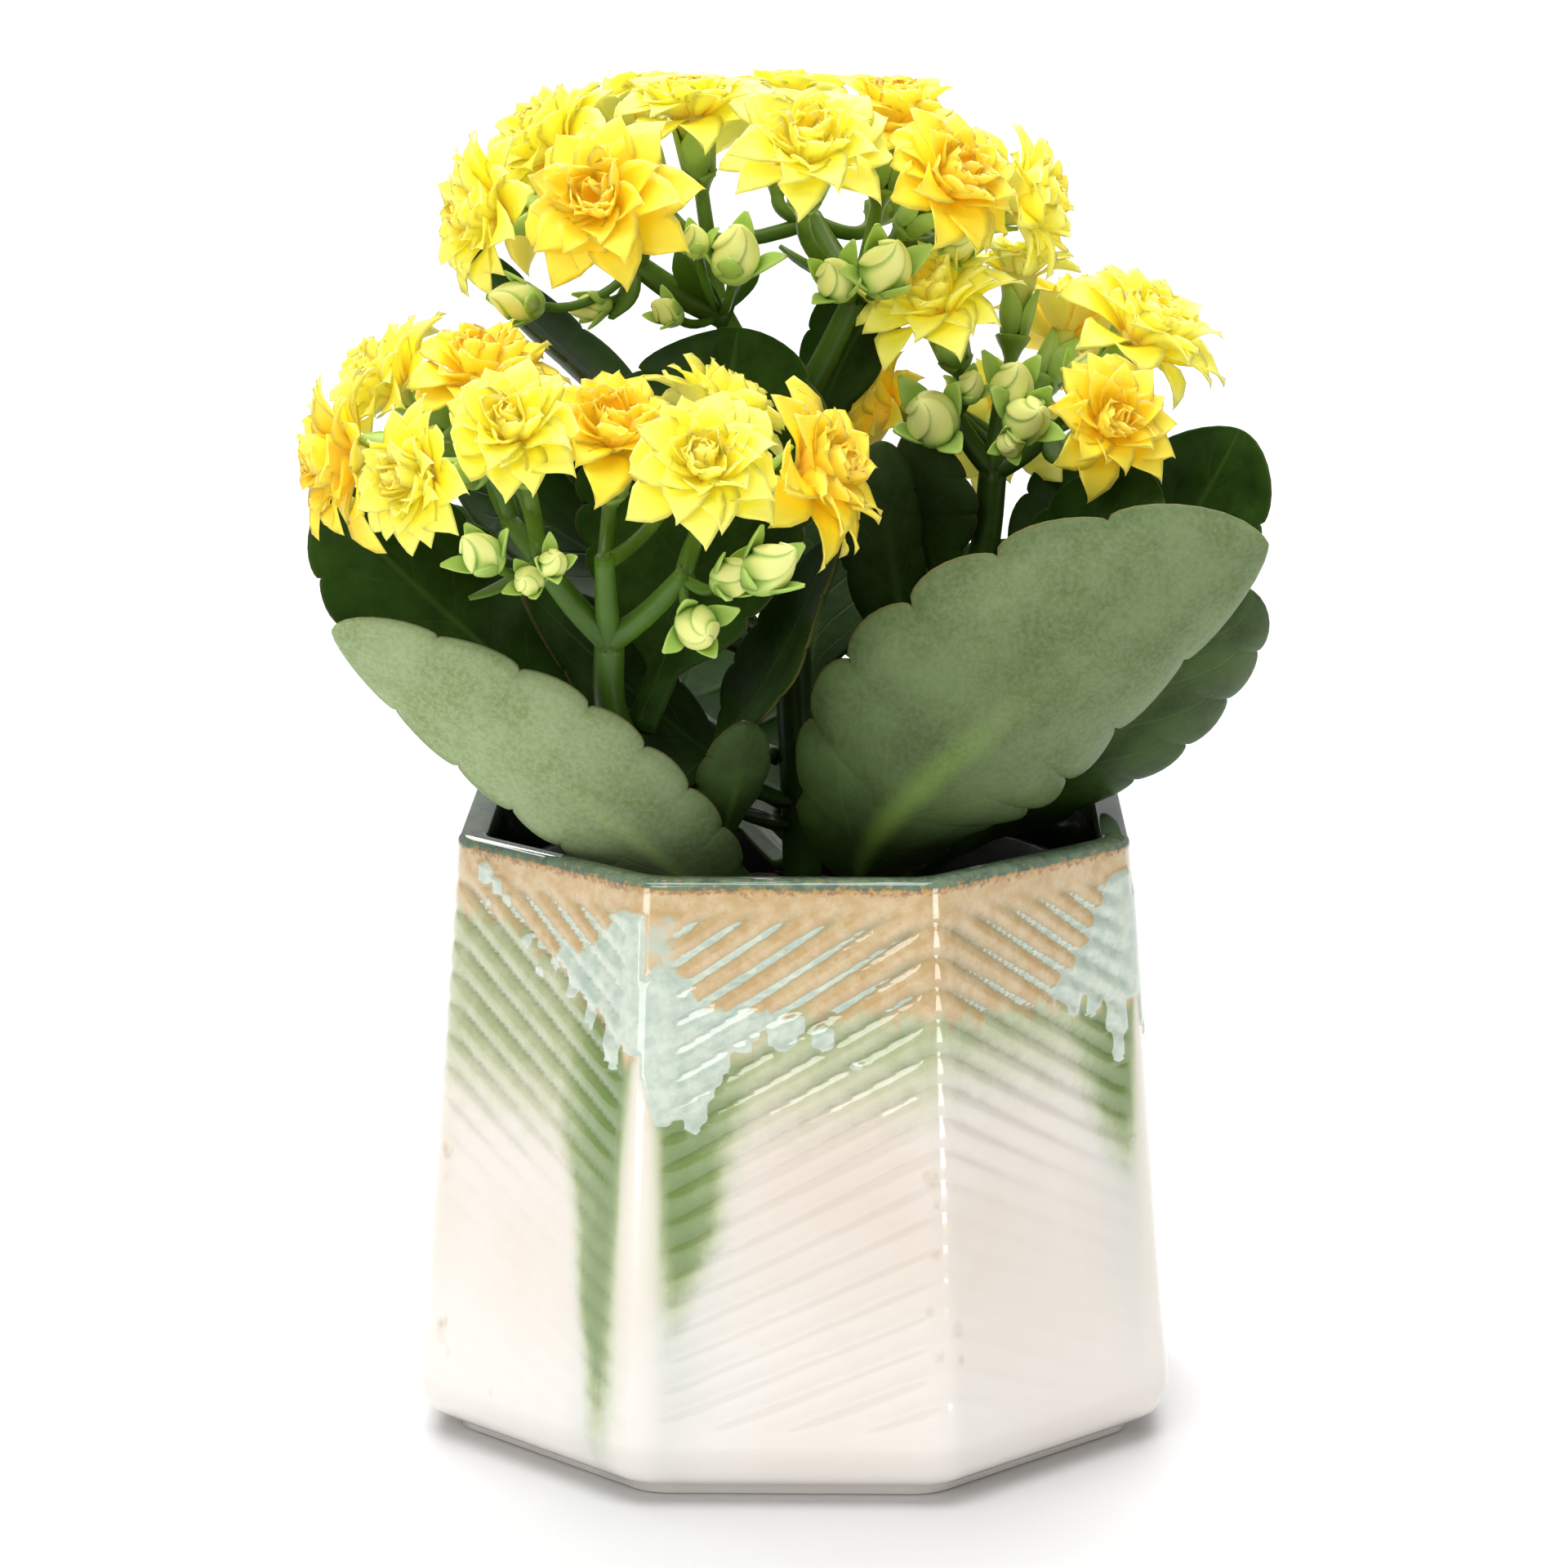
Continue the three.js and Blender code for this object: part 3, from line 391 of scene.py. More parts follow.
# What every layer is where the skin closes, under the foot and in the middle of the floor.
POLE_VALUES = (0.0, 1.0)
rings = []
values = {key: [] for key in ("groove", "pale", "tan", "green", "mist", "bare", "lip", "paler_low")}
for row, (z, apothem) in enumerate(profile):
    is_wall = row < wall_rows
    groove = ridge_relief(distance, z) * is_wall
    layers = [layer * is_wall for layer in glaze_layers(columns, z)]
    depth_share = LOW_RIDGE_DEPTH_SHARE + (1 - LOW_RIDGE_DEPTH_SHARE) * smooth(34, 56, z)
    swell = GLAZE_THICKNESS * smooth(0.42, 0.75, layers[0]) - RIDGE_DEPTH * depth_share * groove
    rings.append(pot_ring(columns, apothem - GLAZE_THICKNESS * is_wall * smooth(5, 16, z), z, swell))
    lip = smooth(POT_HEIGHT - 2.4, POT_HEIGHT - 0.6, z)
    if row >= outside_rows:
        lip = 1 + smooth(POT_HEIGHT - 0.8, POT_HEIGHT - 7, z)
    for key, layer in zip(values, [groove, *layers, lip, smooth(36, 10, z)]):
        values[key].append(np.broadcast_to(layer, len(columns)))
verts, faces = skin(np.array(rings))
for key, layer in values.items():
    values[key] = np.append(np.concatenate(layer), POLE_VALUES)

glaze = Recipe("reactive_glaze")
clouds = glaze.noise(0.035, 3)
grain = glaze.noise(0.45, 4, 0.6)
speck = glaze.noise(1.3, 3, 0.7)
groove = glaze.attribute("groove")


def ragged(layer, raggedness, low, high, source=grain):
    """Where a run of glaze lies, its edge broken up by a noise."""
    edge = glaze.math("SUBTRACT", glaze.attribute(layer), raggedness / 2)
    return glaze.ramp(glaze.math("MULTIPLY_ADD", source, raggedness, edge), low, high)


cream = glaze.mix(glaze.ramp(clouds, 0.35, 0.65), linear(233, 226, 216), linear(229, 215, 201))
# The cream turns lighter towards the foot.
cream = glaze.mix(glaze.math("MULTIPLY", glaze.attribute("paler_low"), 0.7), cream, linear(245, 240, 233))
green_tone = glaze.mix(ragged("green", 0.3, 0.4, 1.05), linear(190, 198, 152), linear(116, 140, 76))
green_tone = glaze.mix(glaze.math("MULTIPLY", groove, 0.6), green_tone, linear(96, 122, 62))
tan_tone = glaze.mix(glaze.ramp(grain, 0.35, 0.65), linear(214, 190, 148), linear(200, 168, 118))
tan_tone = glaze.mix(glaze.ramp(speck, 0.6, 0.72, 0, 0.35), tan_tone, linear(178, 132, 84))
tan_tone = glaze.mix(glaze.math("MULTIPLY", groove, 0.85), tan_tone, linear(140, 140, 104))
pale_tone = glaze.mix(glaze.ramp(grain, 0.3, 0.7), linear(214, 223, 206), linear(182, 199, 184))
teal_tone = glaze.mix(glaze.ramp(grain, 0.35, 0.7), linear(118, 140, 116), linear(80, 108, 94))
ochre = glaze.mix(glaze.ramp(speck, 0.4, 0.65), linear(196, 156, 92), linear(146, 104, 62))
tone = glaze.mix(glaze.math("MULTIPLY", glaze.attribute("mist"), 0.5), cream, linear(202, 213, 207))
tone = glaze.mix(ragged("green", 0.4, 0.0, 0.8), tone, green_tone)
tone = glaze.mix(ragged("tan", 0.7, 0.2, 0.8), tone, tan_tone)
tone = glaze.mix(ragged("bare", 0.3, 0.1, 0.9), tone, linear(236, 230, 216))
tone = glaze.mix(ragged("pale", 0.5, 0.46, 0.58), tone, pale_tone)
tone = glaze.mix(ragged("lip", 0.9, 0.15, 0.6, speck), tone, ochre)
tone = glaze.mix(ragged("lip", 0.9, 0.72, 1.0, speck), tone, teal_tone)
tone = glaze.mix(ragged("lip", 0.3, 1.1, 1.9), tone, linear(54, 68, 52))
glaze.shine(Base_Color=tone, Roughness=0.08, IOR=1.5, Coat_Weight=1.0, Coat_Roughness=0.03)
glaze.bump(grain, 0.1, 0.25)

pot_mesh = make_mesh("cover_pot", verts, faces, values)
settle(new_piece("cover_pot", pot_mesh, glaze.material), "glaze", "pot")

# ------------------------------------------------------------------ grow pot
# The thin black nursery pot that the plant was raised in. It is moulded in one piece, with a
# rolled-out lip, and stands loose on the cover pot's floor.
GROW_TOP = 66.0
GROW_TOP_RADIUS = 34.4
GROW_BASE_RADIUS = 25.0
GROW_WALL = 0.8
GROW_LIP = 0.9
GROW_LIP_HEIGHT = 3.2
GROW_SIDES = 72
# The clearance between pieces that stand in each other.
GAP = 0.3


def grow_radius(height):
    share = (height - POT_FLOOR) / (GROW_TOP - POT_FLOOR)
    return GROW_BASE_RADIUS + share * (GROW_TOP_RADIUS - GROW_BASE_RADIUS)


def turned(outline, sides, rises):
    """A closed round body from an outline of (radius, height) points, raised row by row."""
    turns = np.linspace(0, 2 * math.pi, sides, endpoint=False)
    rings = [
        np.column_stack([radius * np.cos(turns), radius * np.sin(turns), np.full(sides, height) + rise])
        for (radius, height), rise in zip(outline, rises)
    ]
    return skin(np.array(rings))


base = POT_FLOOR + GAP
outline = [(grow_radius(base) - 1, base), (grow_radius(base), base + 1)]
outline += [(grow_radius(z), z) for z in (20, 40, GROW_TOP - GROW_LIP_HEIGHT)]
outline += [(GROW_TOP_RADIUS + 0.7, GROW_TOP - 3), (GROW_TOP_RADIUS + GROW_LIP, GROW_TOP - 2.6)]
outline += [(GROW_TOP_RADIUS + GROW_LIP, GROW_TOP - 0.3), (GROW_TOP_RADIUS + 0.5, GROW_TOP)]
outline += [(GROW_TOP_RADIUS - GROW_WALL, GROW_TOP), (grow_radius(60) - GROW_WALL, 60)]
outline += [(grow_radius(20) - GROW_WALL, 20), (grow_radius(base) - 1.6, base + GROW_WALL)]
plastic = Recipe("black_nursery_plastic")
plastic_scuffs = plastic.ramp(plastic.noise(0.3), 0.3, 0.7, 0.38, 0.55)
plastic.shine(Base_Color=linear(34, 34, 35), Roughness=plastic_scuffs)
plastic.bump(plastic.noise(2.0, 4), 0.15, 0.1)
grow_verts, grow_faces = turned(outline, GROW_SIDES, np.zeros(len(outline)))
grow_mesh = make_mesh("grow_pot", grow_verts, grow_faces, {})
settle(new_piece("grow_pot", grow_mesh, plastic.material), "nursery_plastic", "nursery_pot")

# ------------------------------------------------------------------ soil
# Peat mix with bark crumbs and a little white perlite, filled to a little under the grow pot's
# lip. The crumbs are scattered over its top by nodes and lie half sunk in it.
SOIL_TOP = 59.0
SOIL_LUMP = 0.7
SOIL_SHARES = (0.94, 0.8, 0.6, 0.4, 0.2)
# Crumbs for each square centimetre, with their smallest and largest radius.
CRUMBS_PER_CM2, CRUMB_RADII = 26, (0.5, 1.5)
PERLITE_PER_CM2, PERLITE_RADII = 1.6, (0.6, 1.3)
CM2_IN_M2 = 1e4
soil_edge = grow_radius(SOIL_TOP) - GROW_WALL - GAP
soil_base = base + GROW_WALL + GAP
outline = [(grow_radius(soil_base) - GROW_WALL - 3 * GAP, soil_base), (soil_edge - 0.9, SOIL_TOP - 2.4)]
side_rows = len(outline)
outline += [(soil_edge * share, SOIL_TOP) for share in SOIL_SHARES]
lumps = np.random.default_rng(5).uniform(-SOIL_LUMP, SOIL_LUMP, (len(outline), GROW_SIDES))
lumps[:side_rows] = 0
soil_verts, soil_faces = turned(outline, GROW_SIDES, lumps)
peat = Recipe("damp_peat")
peat_tone = peat.mix(peat.ramp(peat.noise(0.6, 4), 0.35, 0.65), linear(38, 28, 21), linear(78, 58, 42))
peat.shine(Base_Color=peat_tone, Roughness=0.92)
peat.bump(peat.noise(1.2, 5, 0.7), 0.7, 0.8)
perlite = Recipe("perlite")
perlite.shine(Base_Color=linear(226, 222, 212), Roughness=0.85)
perlite.bump(perlite.noise(1.5, 4), 0.5, 0.4)


class Layout:
    """A Geometry Nodes tree, added to node by node."""

    def __init__(self, name, **inputs):
        self.tree = bpy.data.node_groups.new(name, "GeometryNodeTree")
        self.tree.interface.new_socket("Geometry", in_out="INPUT", socket_type="NodeSocketGeometry")
        self.sockets = {}
        for key, kind in inputs.items():
            socket = self.tree.interface.new_socket(key, in_out="INPUT", socket_type="NodeSocket" + kind)
            self.sockets[key] = socket.identifier
        self.tree.interface.new_socket("Geometry", in_out="OUTPUT", socket_type="NodeSocketGeometry")
        self.start = self.tree.nodes.new("NodeGroupInput")
        self.end = self.tree.nodes.new("NodeGroupOutput")

    def given(self, key):
        return self.start.outputs[key]

    def node(self, kind, settings=(), output=0, **links):
        """One node's output; an input is named, or given as i and its number."""
        node = self.tree.nodes.new(kind)
        for key, value in dict(settings).items():
            setattr(node, key, value)
        for key, value in links.items():
            name = key.replace("_", " ")
            socket = node.inputs[int(key[1:])] if key[1:].isdigit() else node.inputs[name]
            if isinstance(value, bpy.types.NodeSocket):
                self.tree.links.new(value, socket)
            else:
                socket.default_value = value
        return node.outputs[output]

    def math(self, operation, a, b=0.5):
        return self.node("ShaderNodeMath", {"operation": operation}, i0=a, i1=b)

    def chance(self, low, high, seed):
        draw = self.tree.nodes.new("FunctionNodeRandomValue")
        draw.inputs[2].default_value = low
        draw.inputs[3].default_value = high
        self.tree.links.new(self.math("ADD", self.given("Seed"), seed), draw.inputs["Seed"])
        return draw.outputs[1]

    def finish(self, geometry, material):
        real = self.node("GeometryNodeRealizeInstances", Geometry=geometry)
        done = self.node("GeometryNodeSetMaterial", Geometry=real, Material=material)
        self.tree.links.new(done, self.end.inputs[0])

    def grow(self, mesh, **inputs):
        """The tree's result on a mesh, as a plain mesh."""
        carrier = placed("carrier", mesh)
        layer = carrier.modifiers.new("layout", "NODES")
        layer.node_group = self.tree
        for key, value in inputs.items():
            layer[self.sockets[key]] = value
        scene_now = bpy.context.evaluated_depsgraph_get()
        result = bpy.data.meshes.new_from_object(carrier.evaluated_get(scene_now))
        carrier.modifiers.remove(layer)
        bpy.data.objects.remove(carrier)
        return result


scatter = Layout("scattered_crumbs", Density="Float", Smallest="Float", Largest="Float",
                 Seed="Int", Finish="Material")
normal = scatter.node("GeometryNodeInputNormal")
upward = scatter.node("ShaderNodeSeparateXYZ", output="Z", Vector=normal)
facing_up = scatter.node("FunctionNodeCompare", {"operation": "GREATER_THAN"}, i0=upward, i1=0.7)
dots = scatter.node("GeometryNodeDistributePointsOnFaces", Mesh=scatter.given("Geometry"),
                    Selection=facing_up, Density=scatter.given("Density"), Seed=scatter.given("Seed"))
crumb = scatter.node("GeometryNodeMeshIcoSphere", Radius=1.0, Subdivisions=1)
size = scatter.node("ShaderNodeMapRange", Value=scatter.chance(0.0, 1.0, 1),
                    To_Min=scatter.given("Smallest"), To_Max=scatter.given("Largest"))
squash = scatter.node("ShaderNodeCombineXYZ", X=size, Y=scatter.math("MULTIPLY", size, 0.7),
                      Z=scatter.math("MULTIPLY", size, 0.55))
spin = scatter.node("ShaderNodeCombineXYZ", X=scatter.chance(-0.5, 0.5, 2),
                    Y=scatter.chance(-0.5, 0.5, 3), Z=scatter.chance(0.0, 6.28, 4))
laid = scatter.node("GeometryNodeInstanceOnPoints", Points=dots, Instance=crumb,
                    Rotation=spin, Scale=squash)
scatter.finish(laid, scatter.given("Finish"))

soil_mesh = make_mesh("soil_body", soil_verts, soil_faces, {})
loose = []
for per_cm2, (smallest, largest), seed, finish in (
    (CRUMBS_PER_CM2, CRUMB_RADII, 3, peat.material),
    (PERLITE_PER_CM2, PERLITE_RADII, 8, perlite.material),
):
    loose.append(scatter.grow(
        soil_mesh.copy(), Density=per_cm2 * CM2_IN_M2, Smallest=smallest * MM,
        Largest=largest * MM, Seed=seed, Finish=finish,
    ))


def join(whole, *parts):
    """Loose parts become part of a whole piece."""
    with bpy.context.temp_override(active_object=whole, selected_editable_objects=[whole, *parts]):
        bpy.ops.object.join()


soil = new_piece("potting_mix", soil_mesh, peat.material)
join(soil, *(placed("loose", mesh) for mesh in loose))
settle(soil, "peat", "soil")

# ------------------------------------------------------------------ cuttings
# Three rooted cuttings. Each is one growth: a smooth green stem that forks at its crown into
# flower stalks, which carry pedicels. Every pedicel swells into a calyx of four fleshy sepals,
# or ends in a bud whose rolled petals just show.

# A stem: its radius, the way it takes, the ends of its flower stalks, and the stalk from which
# one of them branches where it doesn't leave the crown itself.
STALKS = {
    "front": {
        "radius": 2.1,
        "path": [(-8, -14, 51), (-8.5, -14, 59), (-11, -16.5, 69), (-17, -21, 81),
                 (-21.2, -25, 91), (-21.3, -28, 100)],
        "forks": {"left": (-29, -32, 110), "middle": (-21.5, -33, 110),
                  "right": (-12.5, -33, 108.5), "far": (-33, -22, 113)},
        "via": {},
    },
    "back": {
        "radius": 2.4,
        "path": [(1, 2, 51), (1, 2, 59), (0.5, 3, 75), (-0.5, 3.5, 95), (-1, 3.5, 110), (-1, 3, 121)],
        "forks": {"left": (-9, 2, 135), "right": (7.5, 0.5, 138), "left_out": (-19, 0, 141),
                  "right_out": (17, 1, 143.5), "rear": (2, 13, 145)},
        "via": {"left_out": "left", "right_out": "right", "rear": "right"},
    },
    "right": {
        "radius": 2.0,
        "path": [(12, 0, 51), (12, 0, 59), (15, 1, 75), (20, 2, 93), (23, 2.5, 106), (24, 2, 116)],
        "forks": {"left": (19, 2, 123), "middle": (25, 1, 125), "right": (31, 2, 121)},
        "via": {},
    },
}
# A flower: its stem and flower stalk, its middle, the compass turn and the lean from upright that
# it faces, its width across the petals, how far it is open, and its colour.
BLOOMS = [
    ("back", "left", (-12.4, 1, 158.5), -20, 18, 18, 1, "lemon"),
    ("back", "left_out", (-21.6, -16, 149.5), -20, 66, 19.5, 1, "amber"),
    ("back", "right", (1.7, -14, 154.6), 6, 44, 19, 1, "lemon"),
    ("back", "right", (11.5, 6, 156.5), 40, 16, 18, 1, "amber"),
    ("back", "right_out", (17.5, -7, 150.5), 45, 52, 18, 1, "amber"),
    ("back", "right_out", (26, 4, 147.5), 82, 74, 18, 1, "lemon"),
    ("back", "left_out", (-28.5, 5, 154), -60, 42, 17.5, 1, "lemon"),
    ("back", "left_out", (-35, -4, 147.5), -68, 84, 18, 1, "lemon"),
    ("back", "rear", (-20, 17, 155.5), -140, 34, 18, 1, "lemon"),
    ("back", "rear", (-2, 18, 156.5), 175, 30, 18, 1, "lemon"),
    ("back", "rear", (13, 21, 150), 150, 55, 18, 1, "amber"),
    ("back", "left_out", (-32, 20, 147), -125, 66, 18, 1, "amber"),
    ("front", "far", (-50, -27, 121.5), -72, 92, 19, 1, "amber"),
    ("front", "far", (-46.5, -13.5, 127.5), -70, 50, 17.5, 1, "lemon"),
    ("front", "far", (-36, -20, 128.5), -10, 14, 18, 1, "amber"),
    ("front", "left", (-41.5, -36, 120.5), -44, 88, 16.5, 0.9, "lemon"),
    ("front", "left", (-31.5, -37, 125), -8, 48, 16.5, 1, "lemon"),
    ("front", "middle", (-20.5, -31.5, 123.5), 8, 34, 17.5, 1, "amber"),
    ("front", "right", (-9.8, -39, 121.5), 4, 56, 17.5, 1, "lemon"),
    ("front", "right", (1.2, -31, 119.5), 66, 68, 20, 1, "amber"),
    ("front", "middle", (-9.5, -22, 124.5), 120, 34, 16.5, 1, "lemon"),
    ("right", "left", (17.3, -3.5, 135.5), -30, 34, 18, 1, "lemon"),
    ("right", "right", (41, 1, 131.5), 62, 38, 19, 1, "lemon"),
    ("right", "right", (36.8, -11, 122.8), 24, 66, 15.5, 0.9, "amber"),
    ("right", "middle", (27, 8, 138.5), 150, 10, 12, 0.7, "lemon"),
    ("right", "left", (12, 10.5, 122), -80, 74, 15.5, 1, "amber"),
    ("right", "left", (25, 18.5, 119), 175, 86, 16, 1, "lemon"),
    ("right", "middle", (33, 18, 129.5), 150, 50, 18, 1, "amber"),
]
# A bud: its stem and flower stalk, its tip, and its thickness.
BUDS = [
    ("front", "left", (-37, -43, 114.5), 4.8), ("front", "left", (-30.5, -40, 109.5), 3.6),
    ("front", "right", (-9.5, -44, 103.5), 5.2), ("front", "right", (0.5, -44, 113.5), 5.8),
    ("front", "right", (-4.5, -42, 111.5), 4.6), ("front", "left", (-26.5, -42, 112.5), 3.4),
    ("back", "left_out", (-36, -12, 138.5), 5.0), ("back", "left_out", (-27, -3, 135.5), 3.6),
    ("back", "left", (-6.5, -14, 147), 6.0), ("back", "left", (-12, -13, 147), 3.4),
    ("back", "right", (12, -13, 145), 6.4), ("back", "right", (4, -12, 142.5), 5.0),
    ("back", "left", (-17, -6, 137), 3.4), ("back", "right_out", (21, -5, 145), 4.0),
    ("right", "left", (15, -11, 126), 6.6), ("right", "middle", (26.5, -8, 130), 5.4),
    ("right", "middle", (29, -12, 125), 5.6), ("right", "left", (21.5, -7, 129), 3.6),
    ("right", "middle", (26, -11, 120.5), 3.4), ("right", "right", (35.5, -3, 131), 4.4),
]
# A bract, a small plain leaf on a flower stalk: its stem and stalk, its tip, and its width.
BRACTS = [
    ("back", "left", (-14, -5, 143), 5.5), ("back", "left", (-4.5, -1, 141.5), 4.5),
    ("back", "left_out", (-22, -2, 134.5), 4.5), ("back", "right", (-2, -3, 143), 4.5),
    ("right", "right", (33, -6, 117), 4.5), ("front", "left", (-37, -33, 105.5), 4.0),
]
TUBE_LENGTH = 6.5
PEDICEL_RADIUS = 0.85
# The calyx cup, as shares of its length with radii.
CALYX_LENGTH = 3.0
CALYX_CUP = [(0.35, 1.25), (0.65, 1.8), (0.9, 2.15), (1.0, 1.9)]
# The sepals of a flower of this width, the size of those round one that isn't fully open beside
# them, and the thickness of a bud for which they would have their full size.
SEPAL_LENGTH = 8.0
SEPAL_WIDTH = 3.8
FULL_WIDTH = 18.0
YOUNG_SIZE = 0.85
FULL_BUD = 6.8
BUD_SIDES = 40
BUD_PETALS = 4
# How ripe and pale the green is, from the foot of a stem to the petals of a bud.
STEM_TONE, BRACT_TONE, STALK_TONE, SEPAL_TONE, BUD_TONE = 0.0, 0.3, 0.35, 0.65, 1.0
# Whatever comes nearer than this to the plant's own box is bent back.
EDGE = 2.0
low_corner, high_corner = (np.array(corner) / MM for corner in cad_box)


def facing_of(turn, lean):
    """The way a flower looks, from its compass turn and its lean from upright."""
    around, down = math.radians(turn), math.radians(lean)
    return np.array([
        math.sin(down) * math.sin(around), -math.sin(down) * math.cos(around), math.cos(down),
    ])


def unit(vector):
    return np.asarray(vector, float) / np.linalg.norm(vector)


def smooth_path(points, steps):
    """A smooth line through points."""
    points = np.asarray(points, float)
    padded = np.vstack([2 * points[0] - points[1], points, 2 * points[-1] - points[-2]])
    line = []
    for a, b, c, d in zip(padded, padded[1:], padded[2:], padded[3:]):
        for t in np.linspace(0, 1, steps, endpoint=False):
            line.append(0.5 * (2 * b + (c - a) * t + (2 * a - 5 * b + 4 * c - d) * t * t
                               + (3 * b - a - 3 * c + d) * t ** 3))
    return np.array(line + [points[-1]])


def keep_inside(points):
    """Points with those near the outside of the plant's own box bent back softly."""
    over = np.clip(points - high_corner + EDGE, 0, None)
    under = np.clip(low_corner + EDGE - points, 0, None)
    return points - over + under + EDGE * (np.exp(-under / EDGE) - np.exp(-over / EDGE))


def pedicel_path(start, end, arrival, steps=10):
    """From its fork outwards and up behind the flower."""
    bend = end - 0.5 * np.linalg.norm(end - start) * arrival
    t = np.linspace(0, 1, steps)[:, None]
    return (1 - t) ** 2 * start + 2 * t * (1 - t) * bend + t * t * end


def stem_rings(line, radii, sides=12, lobes=0, lobe_depth=0.0, twist=0.0):
    """Rings square to a line, round or with soft lobes, each turned on from the one before."""
    turns = np.linspace(0, 2 * math.pi, sides, endpoint=False)
    shape = 1 + lobe_depth * np.cos(lobes * turns)
    across = np.array([1, 0.13, 0.07])
    rings = []
    for i, point in enumerate(line):
        along = unit(line[min(i + 1, len(line) - 1)] - line[max(i - 1, 0)])
        across = unit(across - along * across.dot(along))
        up = np.cross(along, across)
        reach, angle = radii[i] * shape, turns + i * twist
        ring = np.outer(reach * np.cos(angle), across) + np.outer(reach * np.sin(angle), up)
        rings.append(point + ring)
    return np.array(rings)


def fleshy_blade(length, width, thickness, curl, point=1.0, rows=9, half_columns=3):
    """A small thick blade along +X with its upper side to +Z: rings for a closed skin."""
    rings = []
    for t in np.linspace(0.02, 1, rows):
        half = width / 2 * (math.sin(math.pi * min(t, 0.97) ** point)) ** 0.7
        half = max(half, 0.12 * width * (1 - t) + 0.03)
        out = np.sin(np.linspace(-math.pi / 2, math.pi / 2, 2 * half_columns + 1))
        body = thickness * (1 - 0.5 * t) * np.sqrt(np.clip(1 - out ** 4, 0, 1)) / 2
        cupped = 0.35 * half * out ** 2 - curl * length * t * t
        upper = np.column_stack([np.full(len(out), t * length), out * half, cupped + body])
        lower = np.column_stack([np.full(len(out), t * length), out * half, cupped - body])
        rings.append(np.vstack([upper, lower[-2:0:-1]]))
    return np.array(rings)


def flower_axes(facing):
    """Three axes with the last along the way that the flower faces."""
    turn = Vector((0, 0, 1)).rotation_difference(Vector(facing)).to_matrix()
    return np.array(turn).T


class Growth:
    """Closed skins gathered into one mesh, each with its tone."""

    def __init__(self):
        self.verts, self.faces, self.tones, self.count = [], [], [], 0

    def add(self, rings, tone):
        """A closed skin of one tone, of a tone for each ring, or of a tone for each point."""
        verts, faces = skin(rings)
        self.verts.append(verts)
        self.faces += [tuple(self.count + v for v in face) for face in faces]
        rows = np.broadcast_to(np.atleast_2d(tone).T if np.ndim(tone) < 2 else tone, rings.shape[:2])
        self.tones.append(np.concatenate([rows.ravel(), [rows[0, 0], rows[-1, 0]]]))
        self.count += len(verts)

    def sepals(self, base, facing, size, spread, curl, spin):
        """Four sepals round a flower's or a bud's foot, spread by so many degrees."""
        axes = flower_axes(facing)
        for k in range(4):
            bend = curl if k % 2 else -0.5 * curl
            blade = fleshy_blade(SEPAL_LENGTH * size, SEPAL_WIDTH * size, 0.9 * size, bend)
            around = spin + k * math.pi / 2
            out = axes[0] * math.cos(around) + axes[1] * math.sin(around)
            lean = math.radians(spread + 5 * math.sin(3 * around + spin))
            along = facing * math.cos(lean) + out * math.sin(lean)
            inward = facing * math.sin(lean) - out * math.cos(lean)
            set_on = np.array([along, np.cross(inward, along), inward])
            foot = base + out * 1.5 * size
            tones = np.linspace(STALK_TONE + 0.12, SEPAL_TONE + 0.1, len(blade))
            self.add(blade @ set_on + foot, tones)


def add_pedicel(growth, start, row, spin):
    """A flower's pedicel with its calyx."""
    _, _, middle, turn, lean, width, is_open, _ = row
    facing = facing_of(turn, lean)
    foot = np.array(middle) - facing * (TUBE_LENGTH + GAP)
    line = pedicel_path(start, foot - CALYX_LENGTH * facing, facing)
    radii = np.linspace(1.15, 1, len(line)) * PEDICEL_RADIUS
    line = np.vstack([line] + [line[-1] + facing * CALYX_LENGTH * t for t, _ in CALYX_CUP])
    radii = np.append(radii, [radius for _, radius in CALYX_CUP])
    tones = np.linspace(STALK_TONE, SEPAL_TONE - 0.1, len(line))
    growth.add(stem_rings(line, radii, 12, 4, 0.05), tones)
    size = width / FULL_WIDTH if is_open == 1 else YOUNG_SIZE
    growth.sepals(line[-3], facing, size, 9, 0.05, spin)


def add_bud(growth, start, row, spin):
    """A pedicel with a bud, its petals rolled round each other, and four short sepals."""
    _, _, tip, width = row
    out = unit(np.array(tip) - start)
    out = unit(out + np.array([0, 0, 0.35]))
    length = 1.5 * width
    foot = np.array(tip) - out * length
    line = pedicel_path(start, foot, out, 8)
    radii = np.full(len(line), 0.68 * PEDICEL_RADIUS)
    line = np.vstack([line, foot + out * 0.12 * length])
    radii = np.append(radii, 0.3 * width)
    growth.add(stem_rings(line, radii, 10), STALK_TONE)
    rows = np.linspace(0, 1, 17)
    swell = width / 2 * np.sin(math.pi * (0.08 + 0.9 * rows) ** 0.78) ** 0.72
    head_line = [foot + out * length * (0.05 + 0.95 * t) for t in rows]
    head = stem_rings(head_line, swell, BUD_SIDES, twist=0.16)
    centre = head.mean(1, keepdims=True)
    petal_sides = BUD_SIDES / BUD_PETALS
    wrap = (np.arange(BUD_SIDES) + petal_sides * spin) / petal_sides % 1
    shown = np.minimum(1, 2.2 * rows[:, None])
    fold = 1 - shown * (0.2 - 0.24 * wrap ** 0.6)
    ripe = SEPAL_TONE + (BUD_TONE - SEPAL_TONE) * smooth(0.15, 0.6, rows)[:, None]
    tones = ripe - 0.22 * shown * smooth(0.3, 0.0, wrap)
    growth.add(centre + (head - centre) * fold[..., None], tones)
    growth.sepals(foot + out * 0.06 * length, out, width / FULL_BUD, 34, -0.16, spin)


